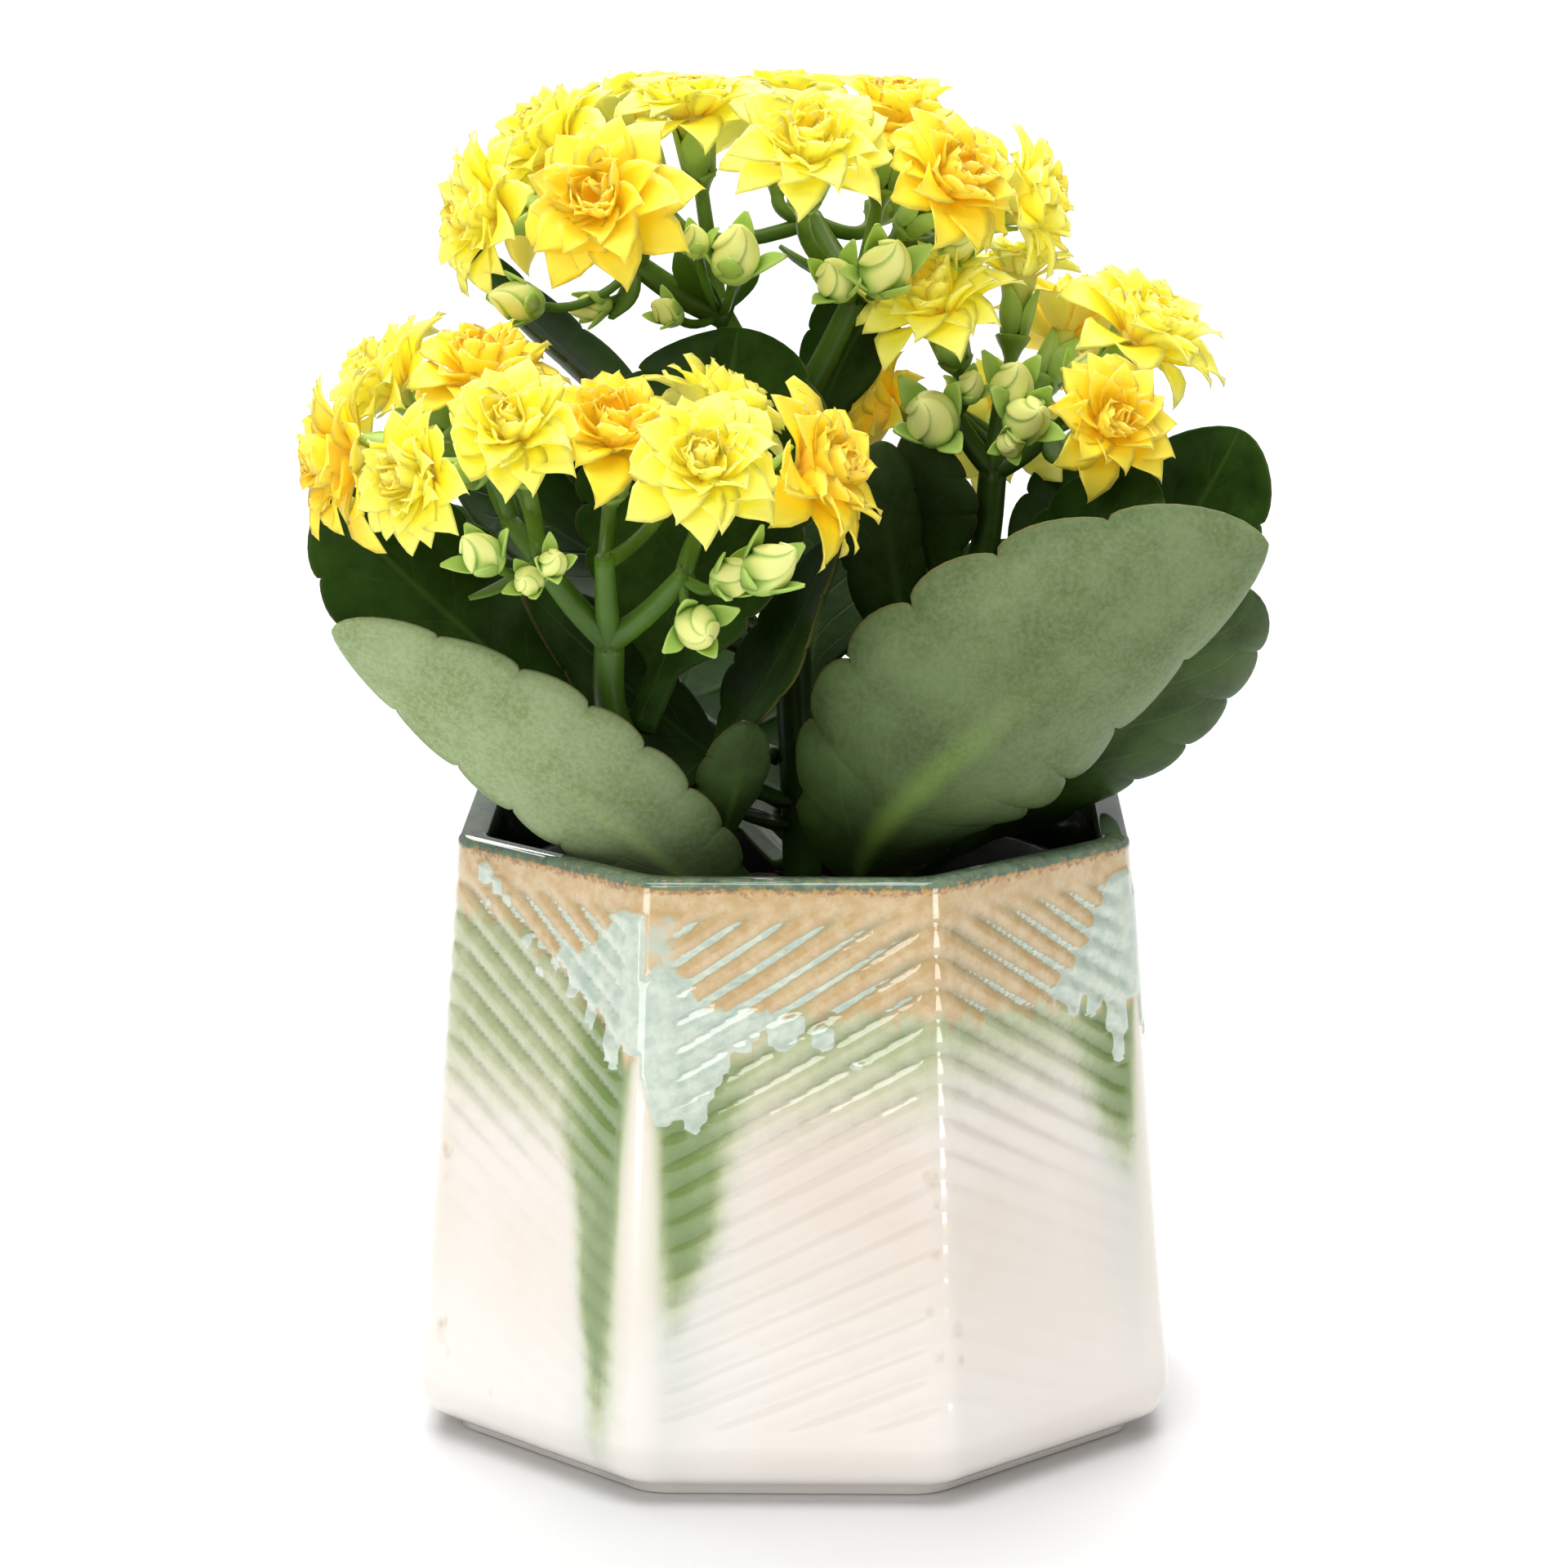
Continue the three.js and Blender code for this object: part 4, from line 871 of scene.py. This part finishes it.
green = Recipe("green_stem_and_calyx")
age = green.math("SUBTRACT", green.attribute("tone"), 0.11)
age = green.math("MULTIPLY_ADD", green.noise(0.25, 3), 0.22, age)
stem_tone = green.mix(green.ramp(age, 0.0, 0.38), linear(33, 57, 12), linear(80, 114, 34))
stem_tone = green.mix(green.ramp(age, 0.38, 0.7), stem_tone, linear(172, 204, 102))
stem_tone = green.mix(green.ramp(age, 0.72, 1.0), stem_tone, linear(238, 240, 150))
green.shine(Base_Color=stem_tone, Roughness=0.38, Specular_IOR_Level=0.3,
            Subsurface_Weight=0.18, Subsurface_Scale=1.2 * MM)
green.shader.inputs["Subsurface Radius"].default_value = (0.8, 1.0, 0.3)
green.bump(green.noise(0.9, 3), 0.12, 0.3)

for name, stalk in STALKS.items():
    growth = Growth()
    line = smooth_path(stalk["path"], 7)
    radii = stalk["radius"] * np.linspace(1.04, 0.84, len(line))
    growth.add(stem_rings(line, radii, 18, 4, 0.03), np.linspace(STEM_TONE, 0.2, len(line)))
    crown = np.array(stalk["path"][-1], float)
    forks = {key: np.array(at, float) for key, at in stalk["forks"].items()}
    for key, end in forks.items():
        start = forks[stalk["via"][key]] if key in stalk["via"] else crown
        over = unit(end - start)
        branch = smooth_path([start - over, (start + end) / 2 + [0, 0, -0.7], end + 0.8 * over], 5)
        thick = stalk["radius"] * np.linspace(0.78, 0.56, len(branch))
        growth.add(stem_rings(branch, thick, 12), np.linspace(0.16, STALK_TONE, len(branch)))
    for number, row in enumerate(BLOOMS):
        if row[0] == name:
            add_pedicel(growth, forks[row[1]], row, 0.9 * number)
    for number, row in enumerate(BUDS):
        if row[0] == name:
            add_bud(growth, forks[row[1]], row, 0.37 * number)
    for _, fork, tip, width in (row for row in BRACTS if row[0] == name):
        along = np.array(tip) - forks[fork]
        sideways = unit(np.array([along[1], -along[0], 0]))
        upward = np.cross(unit(along), sideways)
        blade = fleshy_blade(np.linalg.norm(along), width, 1.0, 0.05, 1.15)
        growth.add(blade @ np.array([unit(along), sideways, upward]) + forks[fork], BRACT_TONE)
    mesh = make_mesh("cutting_" + name, keep_inside(np.vstack(growth.verts)), growth.faces,
                     {"tone": np.concatenate(growth.tones)})
    settle(new_piece("cutting_" + name, mesh, green.material), "green_stem", "stalk_" + name)

# ------------------------------------------------------------------ leaves
# Thick, fleshy leaves with rounded scallops, dark and polished above, pale and bloomed with wax
# below, each on a flattened petiole that leaves its stem. Every leaf is a single growth.

# How thick a leaf is at its midrib and its margin, and how far the rib stands out below and is
# sunk above.
LEAF_RIB = 1.7
LEAF_EDGE = 0.75
RIB_PROUD, RIB_WIDTH = 0.45, 1.1
RIB_DIP, DIP_WIDTH = 0.22, 0.8
PETIOLE_WIDTH = 4.4
# Shares of a leaf's length: its petiole, where its roll is complete, and how far beyond the
# petiole the first scallop starts. The notches are this share of the half width deep.
PETIOLE_SHARE = 0.18
TWIST_SHARE = 0.16
PLAIN_SHARE = 0.17
SCALLOP_DEPTH = 0.12
SCALLOP_STEPS = (0, 0.05, 0.13, 0.25, 0.4, 0.55, 0.7, 0.83, 0.93, 0.98)
LEAF_COLUMNS = 11
# A leaf: its name, its stem, the height at which it leaves the stem, the bow and the tip of
# its midrib, its roll about the midrib, its width, how much its margins rise, its scallops, and
# how thick the pale wax lies on its underside. That last is partly painted shade: it is set thin
# on the leaves deep in the plant, so that their undersides stay dark there, where shade falls.
LEAVES = [
    ("front_right", "right", 62, (-5, -46, 78), (55, -28, 112), -52, 34, 0.5, 6, 0.5),
    ("front_left", "front", 62, (-1, -38, 69), (-53.5, -28, 101.5), 60, 20, 0.3, 7, 1),
    ("left_low", "back", 72, (-28, -9, 82), (-51.5, -12, 102), -30, 22, 0.2, 4, 0.5),
    ("left", "front", 87, (-36.5, -17, 95), (-56, -11.5, 114), -41, 24, 0.12, 5, 0.25),
    ("left_inner", "back", 92, (-22, 6.5, 102), (-42, 3.5, 115.5), -30, 22, 0.2, 4, 0.08),
    ("centre_left", "back", 75, (-13.5, -7, 82), (-32, -18, 104), -44, 21.5, 0.1, 5, 0.2),
    ("centre_tall", "front", 87, (-10, -14, 106), (-6.5, -6, 134), 5, 36, 0.2, 6, 0.08),
    ("centre_small", "back", 95, (-19, 2, 107), (-29, -1, 124.5), -50, 14, 0.15, 3, 0.08),
    ("upper_left", "back", 109, (-21, 11, 120), (-41.5, 6, 142), -8, 18, 0.25, 4, 0.05),
    ("upper_right", "back", 115, (5, 10, 128), (13, 9, 140), 30, 15, 0.2, 3, 0.08),
    ("right_arched", "right", 89, (31, -12, 110.5), (44, -15, 114), 38, 23, 0.2, 4, 0.1),
    ("right_rear", "right", 80, (42, 2, 94), (54.5, 8, 120), 45, 25, 0.2, 4, 0.2),
    ("right_far", "right", 97, (34, 16, 103), (44, 22, 118), 30, 18, 0.2, 3, 0.15),
    ("right_low", "right", 67, (36, -6, 81), (54, -14, 104), -52, 27, 0.35, 5, 0.1),
    ("right_narrow", "right", 86, (10, -8, 104), (10.5, -10, 121), 60, 12, 0.2, 3, 0.08),
    ("right_inner", "right", 99, (16, 3, 108), (15, 0, 121), 10, 15, 0.2, 3, 0.08),
    ("centre", "front", 79, (-2, -19, 90), (5, -15, 110), 0, 25, 0.15, 4, 0.08),
    ("centre_low", "front", 72, (-6.5, -27, 80), (-5.5, -31, 91), 0, 9, 0.2, 3, 0.1),
    ("rear_left", "back", 66, (-14, 28, 72), (-30, 44, 98), 0, 34, 0.3, 5, 0.5),
    ("rear_right", "back", 68, (18, 30, 74), (30, 46, 100), 0, 34, 0.3, 5, 0.5),
    ("rear_far_right", "right", 76, (36, 18, 84), (53, 27, 104), 0, 26, 0.3, 4, 0.4),
    ("rear_upper_left", "back", 98, (-12, 21, 106), (-25, 31, 121), 0, 25, 0.25, 4, 0.2),
    ("rear_upper_right", "back", 84, (4, 24, 98), (5, 37, 115), 0, 24, 0.25, 4, 0.2),
    ("rear_far_left", "back", 80, (-28, 14, 88), (-49, 24, 108), 0, 26, 0.3, 4, 0.4),
]


def leaf_root(stalk, height, bow):
    """Just clear of the stem's skin, on the side that the leaf leaves to."""
    path = np.array(stalk["path"], float)
    k = int(np.argmax(path[:, 2] > height))
    low, high = path[k - 1], path[k]
    point = low + (high - low) * (height - low[2]) / (high[2] - low[2])
    along = unit(high - low)
    heading = unit(bow - point)
    out = unit(heading - along * heading.dot(along))
    return point + out * (0.93 * stalk["radius"] + LEAF_RIB / 2 * abs(heading.dot(along)))


def leaf_stations(scallops):
    """Shares along the midrib with how full the margin is there; notches are sharp."""
    first = PETIOLE_SHARE + PLAIN_SHARE
    stations = [(t, 1) for t in np.linspace(0, first, 13)[:-1]]
    for k in range(scallops):
        for part in SCALLOP_STEPS:
            fullness = math.sin(math.pi * part ** 0.9) ** 0.5 if part else 0
            t = first + (1 - first) * (k + part) / scallops
            stations.append((t, 1 - SCALLOP_DEPTH * (1 - fullness)))
    return stations + [(0.9995, 1)]


def leaf_rings(stalk, height, bow, tip, roll, width, cup, scallops, wax_and_shade, seed):
    """A leaf's closed rings, and for each point: under side, across, along, and its wax, which is partly
    painted shade.
    """
    bow, tip = np.array(bow, float), np.array(tip, float)
    start = leaf_root(stalk, height, bow)
    level = tip - start
    sideways = unit([-level[1], level[0], 0])
    out = np.sin(np.linspace(-math.pi / 2, math.pi / 2, 2 * LEAF_COLUMNS + 1))
    rings, marks = [], []
    for t, fullness in leaf_stations(scallops):
        middle = (1 - t) ** 2 * start + 2 * t * (1 - t) * bow + t * t * tip
        along = unit((1 - t) * (bow - start) + t * (tip - bow))
        across = unit(sideways - along * sideways.dot(along))
        turn = Matrix.Rotation(math.radians(roll) * min(1, t / TWIST_SHARE), 3, Vector(along))
        across = np.array(turn @ Vector(across))
        up = np.cross(along, across)
        share = max(t - PETIOLE_SHARE, 0) / (1 - PETIOLE_SHARE)
        full = width / 2 * max(math.sin(math.pi * share ** 1.3), 0) ** 0.5 * fullness
        petiole = PETIOLE_WIDTH / 2 * (1 - smooth(0.5, 1, t))
        half = (full ** 3 + petiole ** 3) ** (1 / 3)
        rise = cup * half * out ** 2 * min(1, 4 * share)
        rise += 0.04 * half * out ** 3 * math.sin(9 * t + seed)
        rise += 0.02 * half * out ** 2 * math.sin(17 * t + 2 * seed)
        rim = np.sqrt(np.clip(1 - np.abs(out) ** 14, 0, 1))
        body = (LEAF_EDGE + (LEAF_RIB - LEAF_EDGE) * (1 - np.abs(out)) ** 1.6 * (1 - 0.5 * t)) * rim / 2
        rib = RIB_PROUD * np.exp(-((out * half / RIB_WIDTH) ** 2)) * (1 - t)
        dip = RIB_DIP * np.exp(-((out * half / DIP_WIDTH) ** 2)) * min(1, 4 * share) * (1 - t)
        flat = middle + np.outer(out * half, across)
        upper = flat + np.outer(rise + body - dip, up)
        lower = flat + np.outer(rise - body - rib, up)
        rings.append(np.vstack([upper, lower[-2:0:-1]]))
        under = np.repeat([0, 1], [len(out), len(out) - 2]).astype(float)
        under[[0, len(out) - 1]] = 0.5
        spread = np.concatenate([out, out[-2:0:-1]])
        station = np.full((len(spread), 2), (t, wax_and_shade))
        marks.append(np.column_stack([under, spread, station]))
    return np.array(rings), np.concatenate(marks)


waxy = Recipe("kalanchoe_leaf")
under, across, along = (waxy.attribute(key) for key in ("under", "across", "along"))
off_rib = waxy.math("ABSOLUTE", across)
mottle = waxy.noise(0.12, 4, 0.6)
fine = waxy.noise(1.6, 3, 0.7)
vein_phase = waxy.math("MULTIPLY_ADD", along, 7.0, waxy.math("MULTIPLY", off_rib, -1.9))
vein = waxy.ramp(waxy.math("PINGPONG", vein_phase, 0.5), 0.0, 0.07, 1.0, 0.0)
vein = waxy.math("MULTIPLY", vein, waxy.ramp(off_rib, 0.3, 0.85, 1.0, 0.0))
top = waxy.mix(waxy.ramp(mottle, 0.3, 0.7), linear(27, 48, 13), linear(46, 73, 25))
top = waxy.mix(waxy.ramp(off_rib, 0.75, 1.0, 0.0, 0.5), top, linear(34, 62, 14))
top = waxy.mix(waxy.ramp(off_rib, 0.0, 0.06, 0.4, 0.0), top, linear(74, 104, 44))
top = waxy.mix(waxy.math("MULTIPLY", vein, 0.12), top, linear(64, 92, 42))
pale = waxy.mix(waxy.ramp(mottle, 0.3, 0.7), linear(126, 147, 88), linear(152, 169, 120))
pale = waxy.mix(waxy.ramp(fine, 0.3, 0.7, 0.0, 0.5), pale, linear(180, 190, 158))
bare = waxy.mix(waxy.ramp(mottle, 0.3, 0.7), linear(30, 52, 12), linear(50, 76, 24))
glow = waxy.math("MULTIPLY", waxy.ramp(off_rib, 0.0, 0.2, 0.5, 0.0), waxy.ramp(along, 0.5, 0.85, 1.0, 0.0))
glow = waxy.math("MULTIPLY", glow, waxy.ramp(waxy.attribute("wax_and_shade"), 0.0, 0.5, 0.15, 1.0))
bare = waxy.mix(glow, bare, linear(120, 150, 54))
# The pale wax thins towards each leaf's foot and is thinnest on the leaves deep in the plant: partly real
# wax, partly painted shade at the leaves' feet and in the middle of the plant.
wax_and_shade_cover = waxy.math("MULTIPLY", waxy.attribute("wax_and_shade"), waxy.ramp(along, 0.26, 0.85, 0.05, 1.0))
wax_and_shade_cover = waxy.math("MULTIPLY", wax_and_shade_cover, waxy.ramp(off_rib, 0.8, 1.0, 1.0, 0.7))
pale = waxy.mix(wax_and_shade_cover, bare, pale)
pale = waxy.mix(waxy.math("MULTIPLY", vein, 0.06), pale, linear(126, 148, 84))
leaf_tone = waxy.mix(waxy.ramp(under, 0.35, 0.65), top, pale)
rim_share = waxy.ramp(off_rib, 0.975, 1.0, 0.0, 0.55)
leaf_tone = waxy.mix(rim_share, leaf_tone, linear(96, 70, 44))
waxy.shine(Base_Color=leaf_tone, Roughness=waxy.ramp(under, 0.35, 0.65, 0.32, 0.42),
           Specular_IOR_Level=0.06, Subsurface_Weight=0.12, Subsurface_Scale=1.5 * MM)
waxy.shader.inputs["Subsurface Radius"].default_value = (0.5, 1.0, 0.2)
leaf_height = waxy.math("MULTIPLY_ADD", vein, -0.5, waxy.math("MULTIPLY", fine, 0.35))
waxy.bump(leaf_height, 0.25, 0.3)

for number, (name, stalk, height, *shape) in enumerate(LEAVES):
    rings, marks = leaf_rings(STALKS[stalk], height, *shape, number)
    verts, faces = skin(rings)
    marks = np.vstack([marks, marks[[0, -1]] * [0, 0, 1, 1]]).T
    layers = dict(zip(("under", "across", "along", "wax_and_shade"), marks))
    mesh = make_mesh("leaf_" + name, verts, faces, layers)
    settle(new_piece("blade_" + name, mesh, waxy.material), "leaf", "leaf_" + name)

# ------------------------------------------------------------------ flowers
# Double flowers: a short yellow-green tube opens into forty waxy petals in five whorls, the
# outermost wide and bent back, the inner ones shorter, upright and folded round the heart.
WHORLS = 5
HALF_OPEN_WHORLS, HALF_OPEN = 3, 0.8
WHORL_PETALS = 8
# The turn from one whorl to the next, in radians, and the lean of the outermost and the
# innermost petals from the flower's own axis, in degrees.
WHORL_TURN = 0.41
OUTER_LEAN = 76
INNER_LEAN = 12
# A petal's length as a share of the flower's width, the size of an innermost one beside it, the
# height above which the petals of the heart are pressed down, and by which share.
PETAL_LENGTH = 0.52
HEART_SIZE = 0.78
CROWN, CROWN_PRESS = 6.4, 0.5
# The thickness of a petal whose length is 1.
PETAL_THICKNESS = 0.34 / 9
# Where the middle of a flower's petals lies above its foot, how near two flowers have to be to
# press on each other, the gap that they keep, and how much of what is past it gives way.
HEART_HEIGHT = 2.2
PRESS_REACH = 24.0
PRESS_GAP = 0.4
PRESS_SHARE = 0.86
# The tube, as heights from the petals' foot with radii.
TUBE_ROWS = [(-TUBE_LENGTH, 1.3), (-TUBE_LENGTH + 0.6, 1.55), (-4, 1.65), (-2, 1.8), (-0.6, 2.1),
             (0.5, 2.3), (1.2, 1.2)]
TUBE_SIDES = 16
# The outline of a petal: shares of its length with how full it is there.
PETAL_OUTLINE = [(0.04, 0.3), (0.22, 0.6), (0.43, 0.92), (0.61, 1.0), (0.78, 0.8), (0.9, 0.4),
                 (1.0, 0.02)]


def petal_mesh(name, width, cup, arch, bend_back):
    """A petal of length 1 along +X, upper side to +Z: broad, then drawn out to a small point."""
    rings, marks = [], []
    out = np.array([-1, -0.6, 0, 0.6, 1])
    body = PETAL_THICKNESS * np.array([0.1, 0.8, 1, 0.8, 0.1]) / 2
    for t, fullness in PETAL_OUTLINE:
        half = width / 2 * fullness
        height = cup * half * out ** 2 + arch * math.sin(math.pi * t) + 0.07 * out * math.sin(5 * t)
        height = height - bend_back * max(t - 0.5, 0) ** 2
        line = np.column_stack([np.full(5, t), out * half, height])
        upper, lower = line + np.outer(body, [0, 0, 1]), line - np.outer(body, [0, 0, 1])
        rings.append(np.vstack([upper, lower[-2:0:-1]]))
        marks.append(np.column_stack([np.full(8, t), np.repeat([0, 1], [5, 3])]))
    verts, faces = skin(np.array(rings))
    marks = np.vstack([*marks, [0, 0.5], [1, 0.5]]).T
    return make_mesh(name, verts / MM, faces, {"reach": marks[0], "back": marks[1]})


rosette = Layout("petal_whorls", Whorls="Int", Length="Float", Outer="Object", Middle="Object",
                 Inner="Object", Open="Float", Seed="Int", Finish="Material")
index = rosette.node("GeometryNodeInputIndex")
count = rosette.math("MULTIPLY", rosette.given("Whorls"), float(WHORL_PETALS))
whorl = rosette.math("FLOOR", rosette.math("DIVIDE", index, float(WHORL_PETALS)))
share = rosette.math("DIVIDE", whorl, WHORLS - 1.0)
turn = rosette.math("MULTIPLY", index, 2 * math.pi / WHORL_PETALS)
turn = rosette.math("ADD", turn, rosette.math("MULTIPLY", whorl, WHORL_TURN))
turn = rosette.math("ADD", turn, rosette.chance(-0.2, 0.2, 1))
lean = rosette.node("ShaderNodeMapRange", Value=rosette.math("POWER", share, 0.85),
                    To_Min=math.radians(OUTER_LEAN), To_Max=math.radians(INNER_LEAN))
lean = rosette.math("MULTIPLY", lean, rosette.given("Open"))
lean = rosette.math("ADD", lean, rosette.chance(-0.25, 0.25, 2))
tilt = rosette.math("SUBTRACT", lean, math.pi / 2)
seat = rosette.math("MULTIPLY", rosette.math("SUBTRACT", 1.25, share), 1.2 * MM)
place = rosette.node(
    "ShaderNodeCombineXYZ",
    X=rosette.math("MULTIPLY", seat, rosette.math("COSINE", turn)),
    Y=rosette.math("MULTIPLY", seat, rosette.math("SINE", turn)),
    Z=rosette.math("MULTIPLY", share, 0.6 * MM),
)
spots = rosette.node("GeometryNodePoints", Count=count, Position=place)
spots = rosette.node("GeometryNodeStoreNamedAttribute", {"data_type": "FLOAT", "domain": "POINT"},
                     Geometry=spots, Name="heart", Value=share)
pose = rosette.node("ShaderNodeCombineXYZ", X=rosette.chance(-0.3, 0.3, 3), Y=tilt, Z=turn)
size = rosette.node("ShaderNodeMapRange", Value=share, To_Min=1.0, To_Max=HEART_SIZE)
size = rosette.math("MULTIPLY", size, rosette.given("Length"))
size = rosette.math("MULTIPLY", size, rosette.chance(0.88, 1.06, 4))
whorls = rosette.tree.nodes.new("GeometryNodeJoinGeometry")
for key, low, high in (("Outer", -1.0, 0.3), ("Middle", 0.3, 0.7), ("Inner", 0.7, 2.0)):
    from_low = rosette.node("FunctionNodeCompare", {"operation": "GREATER_EQUAL"}, i0=share, i1=low)
    to_high = rosette.node("FunctionNodeCompare", {"operation": "LESS_THAN"}, i0=share, i1=high)
    chosen = rosette.node("FunctionNodeBooleanMath", {"operation": "AND"}, i0=from_low, i1=to_high)
    blade = rosette.node("GeometryNodeObjectInfo", output="Geometry", Object=rosette.given(key))
    whorl = rosette.node("GeometryNodeInstanceOnPoints", Points=spots, Selection=chosen,
                         Instance=blade, Rotation=pose, Scale=size)
    rosette.tree.links.new(whorl, whorls.inputs[0])
rosette.finish(whorls.outputs[0], rosette.given("Finish"))


def petal_finish(name, base, face, tip, back, heart):
    """Waxy petals: colour from the foot to the tip, paler behind, warmer at the heart, and a faint painted
    glow in their own colour that stands in for light passing through them.
    """
    petal = Recipe(name)
    reach, behind, inner = (petal.attribute(key) for key in ("reach", "back", "heart"))
    tone = petal.mix(petal.ramp(reach, 0.05, 0.45), base, face)
    tone = petal.mix(petal.ramp(reach, 0.5, 1.0), tone, tip)
    tone = petal.mix(petal.ramp(inner, 0.6, 1.0, 0.0, 0.6), tone, heart)
    outermost = petal.math("MULTIPLY", behind, petal.ramp(inner, 0.05, 0.5, 0.75, 0.2))
    tone = petal.mix(outermost, tone, back)
    streaks = petal.noise(0.5, 3, 0.6)
    tone = petal.mix(petal.ramp(streaks, 0.3, 0.75, 0.0, 0.14), tone, face)
    # The emission is a painted glow: the petals shine faintly in their own colour, standing in for light
    # coming through them.
    petal.shine(Base_Color=tone, Roughness=0.5, Subsurface_Weight=0.25, Subsurface_Scale=1.5 * MM,
                Specular_IOR_Level=0.35, Emission_Color=tone, Emission_Strength=0.1)
    petal.shader.inputs["Subsurface Radius"].default_value = (1.0, 0.85, 0.3)
    petal.bump(streaks, 0.15, 0.25)
    return petal.material


lemon = petal_finish("lemon_petal", linear(253, 208, 34), linear(255, 244, 68), linear(255, 249, 114),
                     linear(255, 250, 140), linear(254, 224, 50))
amber = petal_finish("amber_petal", linear(254, 204, 22), linear(255, 222, 42), linear(255, 233, 78),
                     linear(255, 238, 120), linear(254, 200, 30))
tube = Recipe("flower_tube")
ripeness = tube.ramp(tube.attribute("reach"), 0.2, 1.0)
tube_tone = tube.mix(ripeness, linear(170, 194, 92), linear(234, 226, 110))
tube.shine(Base_Color=tube_tone, Roughness=0.42, Subsurface_Weight=0.25, Subsurface_Scale=1.2 * MM)
finishes = {"lemon": lemon, "amber": amber}
# A petal pattern: its width, how much it is cupped and arched, and how far its tip bends back,
# all as shares of its length.
patterns = {
    key: placed(key, petal_mesh(key, *shape)) for key, shape in {
        "Outer": (0.66, 0.24, 0.05, 0.8),
        "Middle": (0.6, 0.45, -0.04, 0.4),
        "Inner": (0.52, 0.8, -0.1, 0.1),
    }.items()
}
widths = [row[5] for row in BLOOMS]
hearts = np.array([row[2] + HEART_HEIGHT * facing_of(row[3], row[4]) for row in BLOOMS])


def press_back(points, number):
    """Petals that meet a neighbouring flower lie pressed along the place between the two."""
    for other, heart in enumerate(hearts):
        away = heart - hearts[number]
        apart = np.linalg.norm(away)
        if other == number or apart > PRESS_REACH:
            continue
        away /= apart
        limit = apart * widths[number] / (widths[number] + widths[other]) - PRESS_GAP
        past = np.clip((points - hearts[number]) @ away - limit, 0, None)
        points = points - np.outer(PRESS_SHARE * past, away)
    return points


for number, (stalk, fork, middle, turn, lean, width, is_open, colour) in enumerate(BLOOMS):
    mesh = rosette.grow(
        bpy.data.meshes.new("start"), Whorls=WHORLS if is_open > HALF_OPEN else HALF_OPEN_WHORLS,
        Length=PETAL_LENGTH * width * MM, **patterns, Open=float(is_open), Seed=number,
        Finish=finishes[colour],
    )
    axes = flower_axes(facing_of(turn, lean))
    points = np.empty(len(mesh.vertices) * 3)
    mesh.vertices.foreach_get("co", points)
    points = points.reshape(-1, 3) / MM
    points[:, 2] -= CROWN_PRESS * np.clip(points[:, 2] - CROWN, 0, None)
    points = keep_inside(press_back(points @ axes + middle, number))
    mesh.vertices.foreach_set("co", (points * MM).ravel())
    heights, radii = np.array(TUBE_ROWS).T
    line = np.array(middle) + np.outer(heights, facing_of(turn, lean))
    verts, faces = skin(stem_rings(line, radii, TUBE_SIDES, 4, 0.04))
    reach = np.append(np.repeat(np.linspace(0, 1, len(line)), TUBE_SIDES), (0, 1))
    throat = new_piece("throat", make_mesh("throat", verts, faces, {"reach": reach}), tube.material)
    name = f"{stalk}_{number + 1:02d}"
    flower = placed("flower_" + name, mesh)
    join(flower, throat)
    flower.data.shade_smooth()
    settle(flower, colour + "_petal", "bloom_" + name)
for pattern in patterns.values():
    bpy.data.objects.remove(pattern)

# ------------------------------------------------------------------ table, light and camera
# A plain pale table. Two narrow softboxes stand on it, left and right in front of the pot. One
# stands beside the camera, a large one hangs overhead and one lights the table behind. The
# lengths of this section are metres.
FLOOR_SIZE = 12.0
WORLD_LIGHT = 0.25
LENS = 117.25
SENSOR_WIDTH = 36.0
CAMERA_PLACE = (0.008996, -0.613576, 0.20541)
CAMERA_LOOK = (-0.01657, 0.97873, -0.20450)
# A softbox: its place, the spot it is aimed at, its width and height, and its watts.
SOFTBOXES = [
    ("left_strip", (-0.235, -0.245, 0.05), (0, 0, 0.05), (0.085, 0.1), 0.086),
    ("right_strip", (0.25, -0.24, 0.05), (0, 0, 0.05), (0.07, 0.1), 0.108),
    ("front_softbox", (-0.35, -0.9, 0.62), (0, 0, 0.1), (0.6, 0.4), 2.85),
    ("overhead_softbox", (-0.09, 0.0, 0.9), (0, 0, 0.1), (1.0, 0.9), 11.2),
    ("background_softbox", (0, 2.8, 1.9), (0, 2.6, 0), (2.6, 4.0), 112.0),
]
mesh = bpy.data.meshes.new("table")
half = FLOOR_SIZE / 2
corners = [(-half, -half, 0), (half, -half, 0), (half, half, 0), (-half, half, 0)]
mesh.from_pydata(corners, [], [(0, 1, 2, 3)])
table = Recipe("pale_table")
table.shine(Base_Color=linear(224, 224, 224), Roughness=0.6)
new_piece("table", mesh, table.material)

for name, place, aim, (wide, tall), power in SOFTBOXES:
    light = bpy.data.lights.new(name, "AREA")
    light.shape = "RECTANGLE"
    light.size, light.size_y = wide, tall
    light.energy = power
    box = placed(name, light)
    box.location = place
    box.rotation_euler = (Vector(aim) - Vector(place)).to_track_quat("-Z", "Y").to_euler()

world = bpy.data.worlds.new("studio")
world.use_nodes = True
background = world.node_tree.nodes["Background"]
background.inputs["Color"].default_value = (1, 1, 1, 1)
background.inputs["Strength"].default_value = WORLD_LIGHT
bpy.context.scene.world = world
bpy.context.scene.view_settings.view_transform = "Standard"

lens = bpy.data.cameras.new("camera")
lens.lens = LENS
lens.sensor_width = SENSOR_WIDTH
lens.clip_start = 0.01
camera = placed("camera", lens)
camera.location = CAMERA_PLACE
camera.rotation_euler = Vector(CAMERA_LOOK).to_track_quat("-Z", "Y").to_euler()
bpy.context.scene.camera = camera
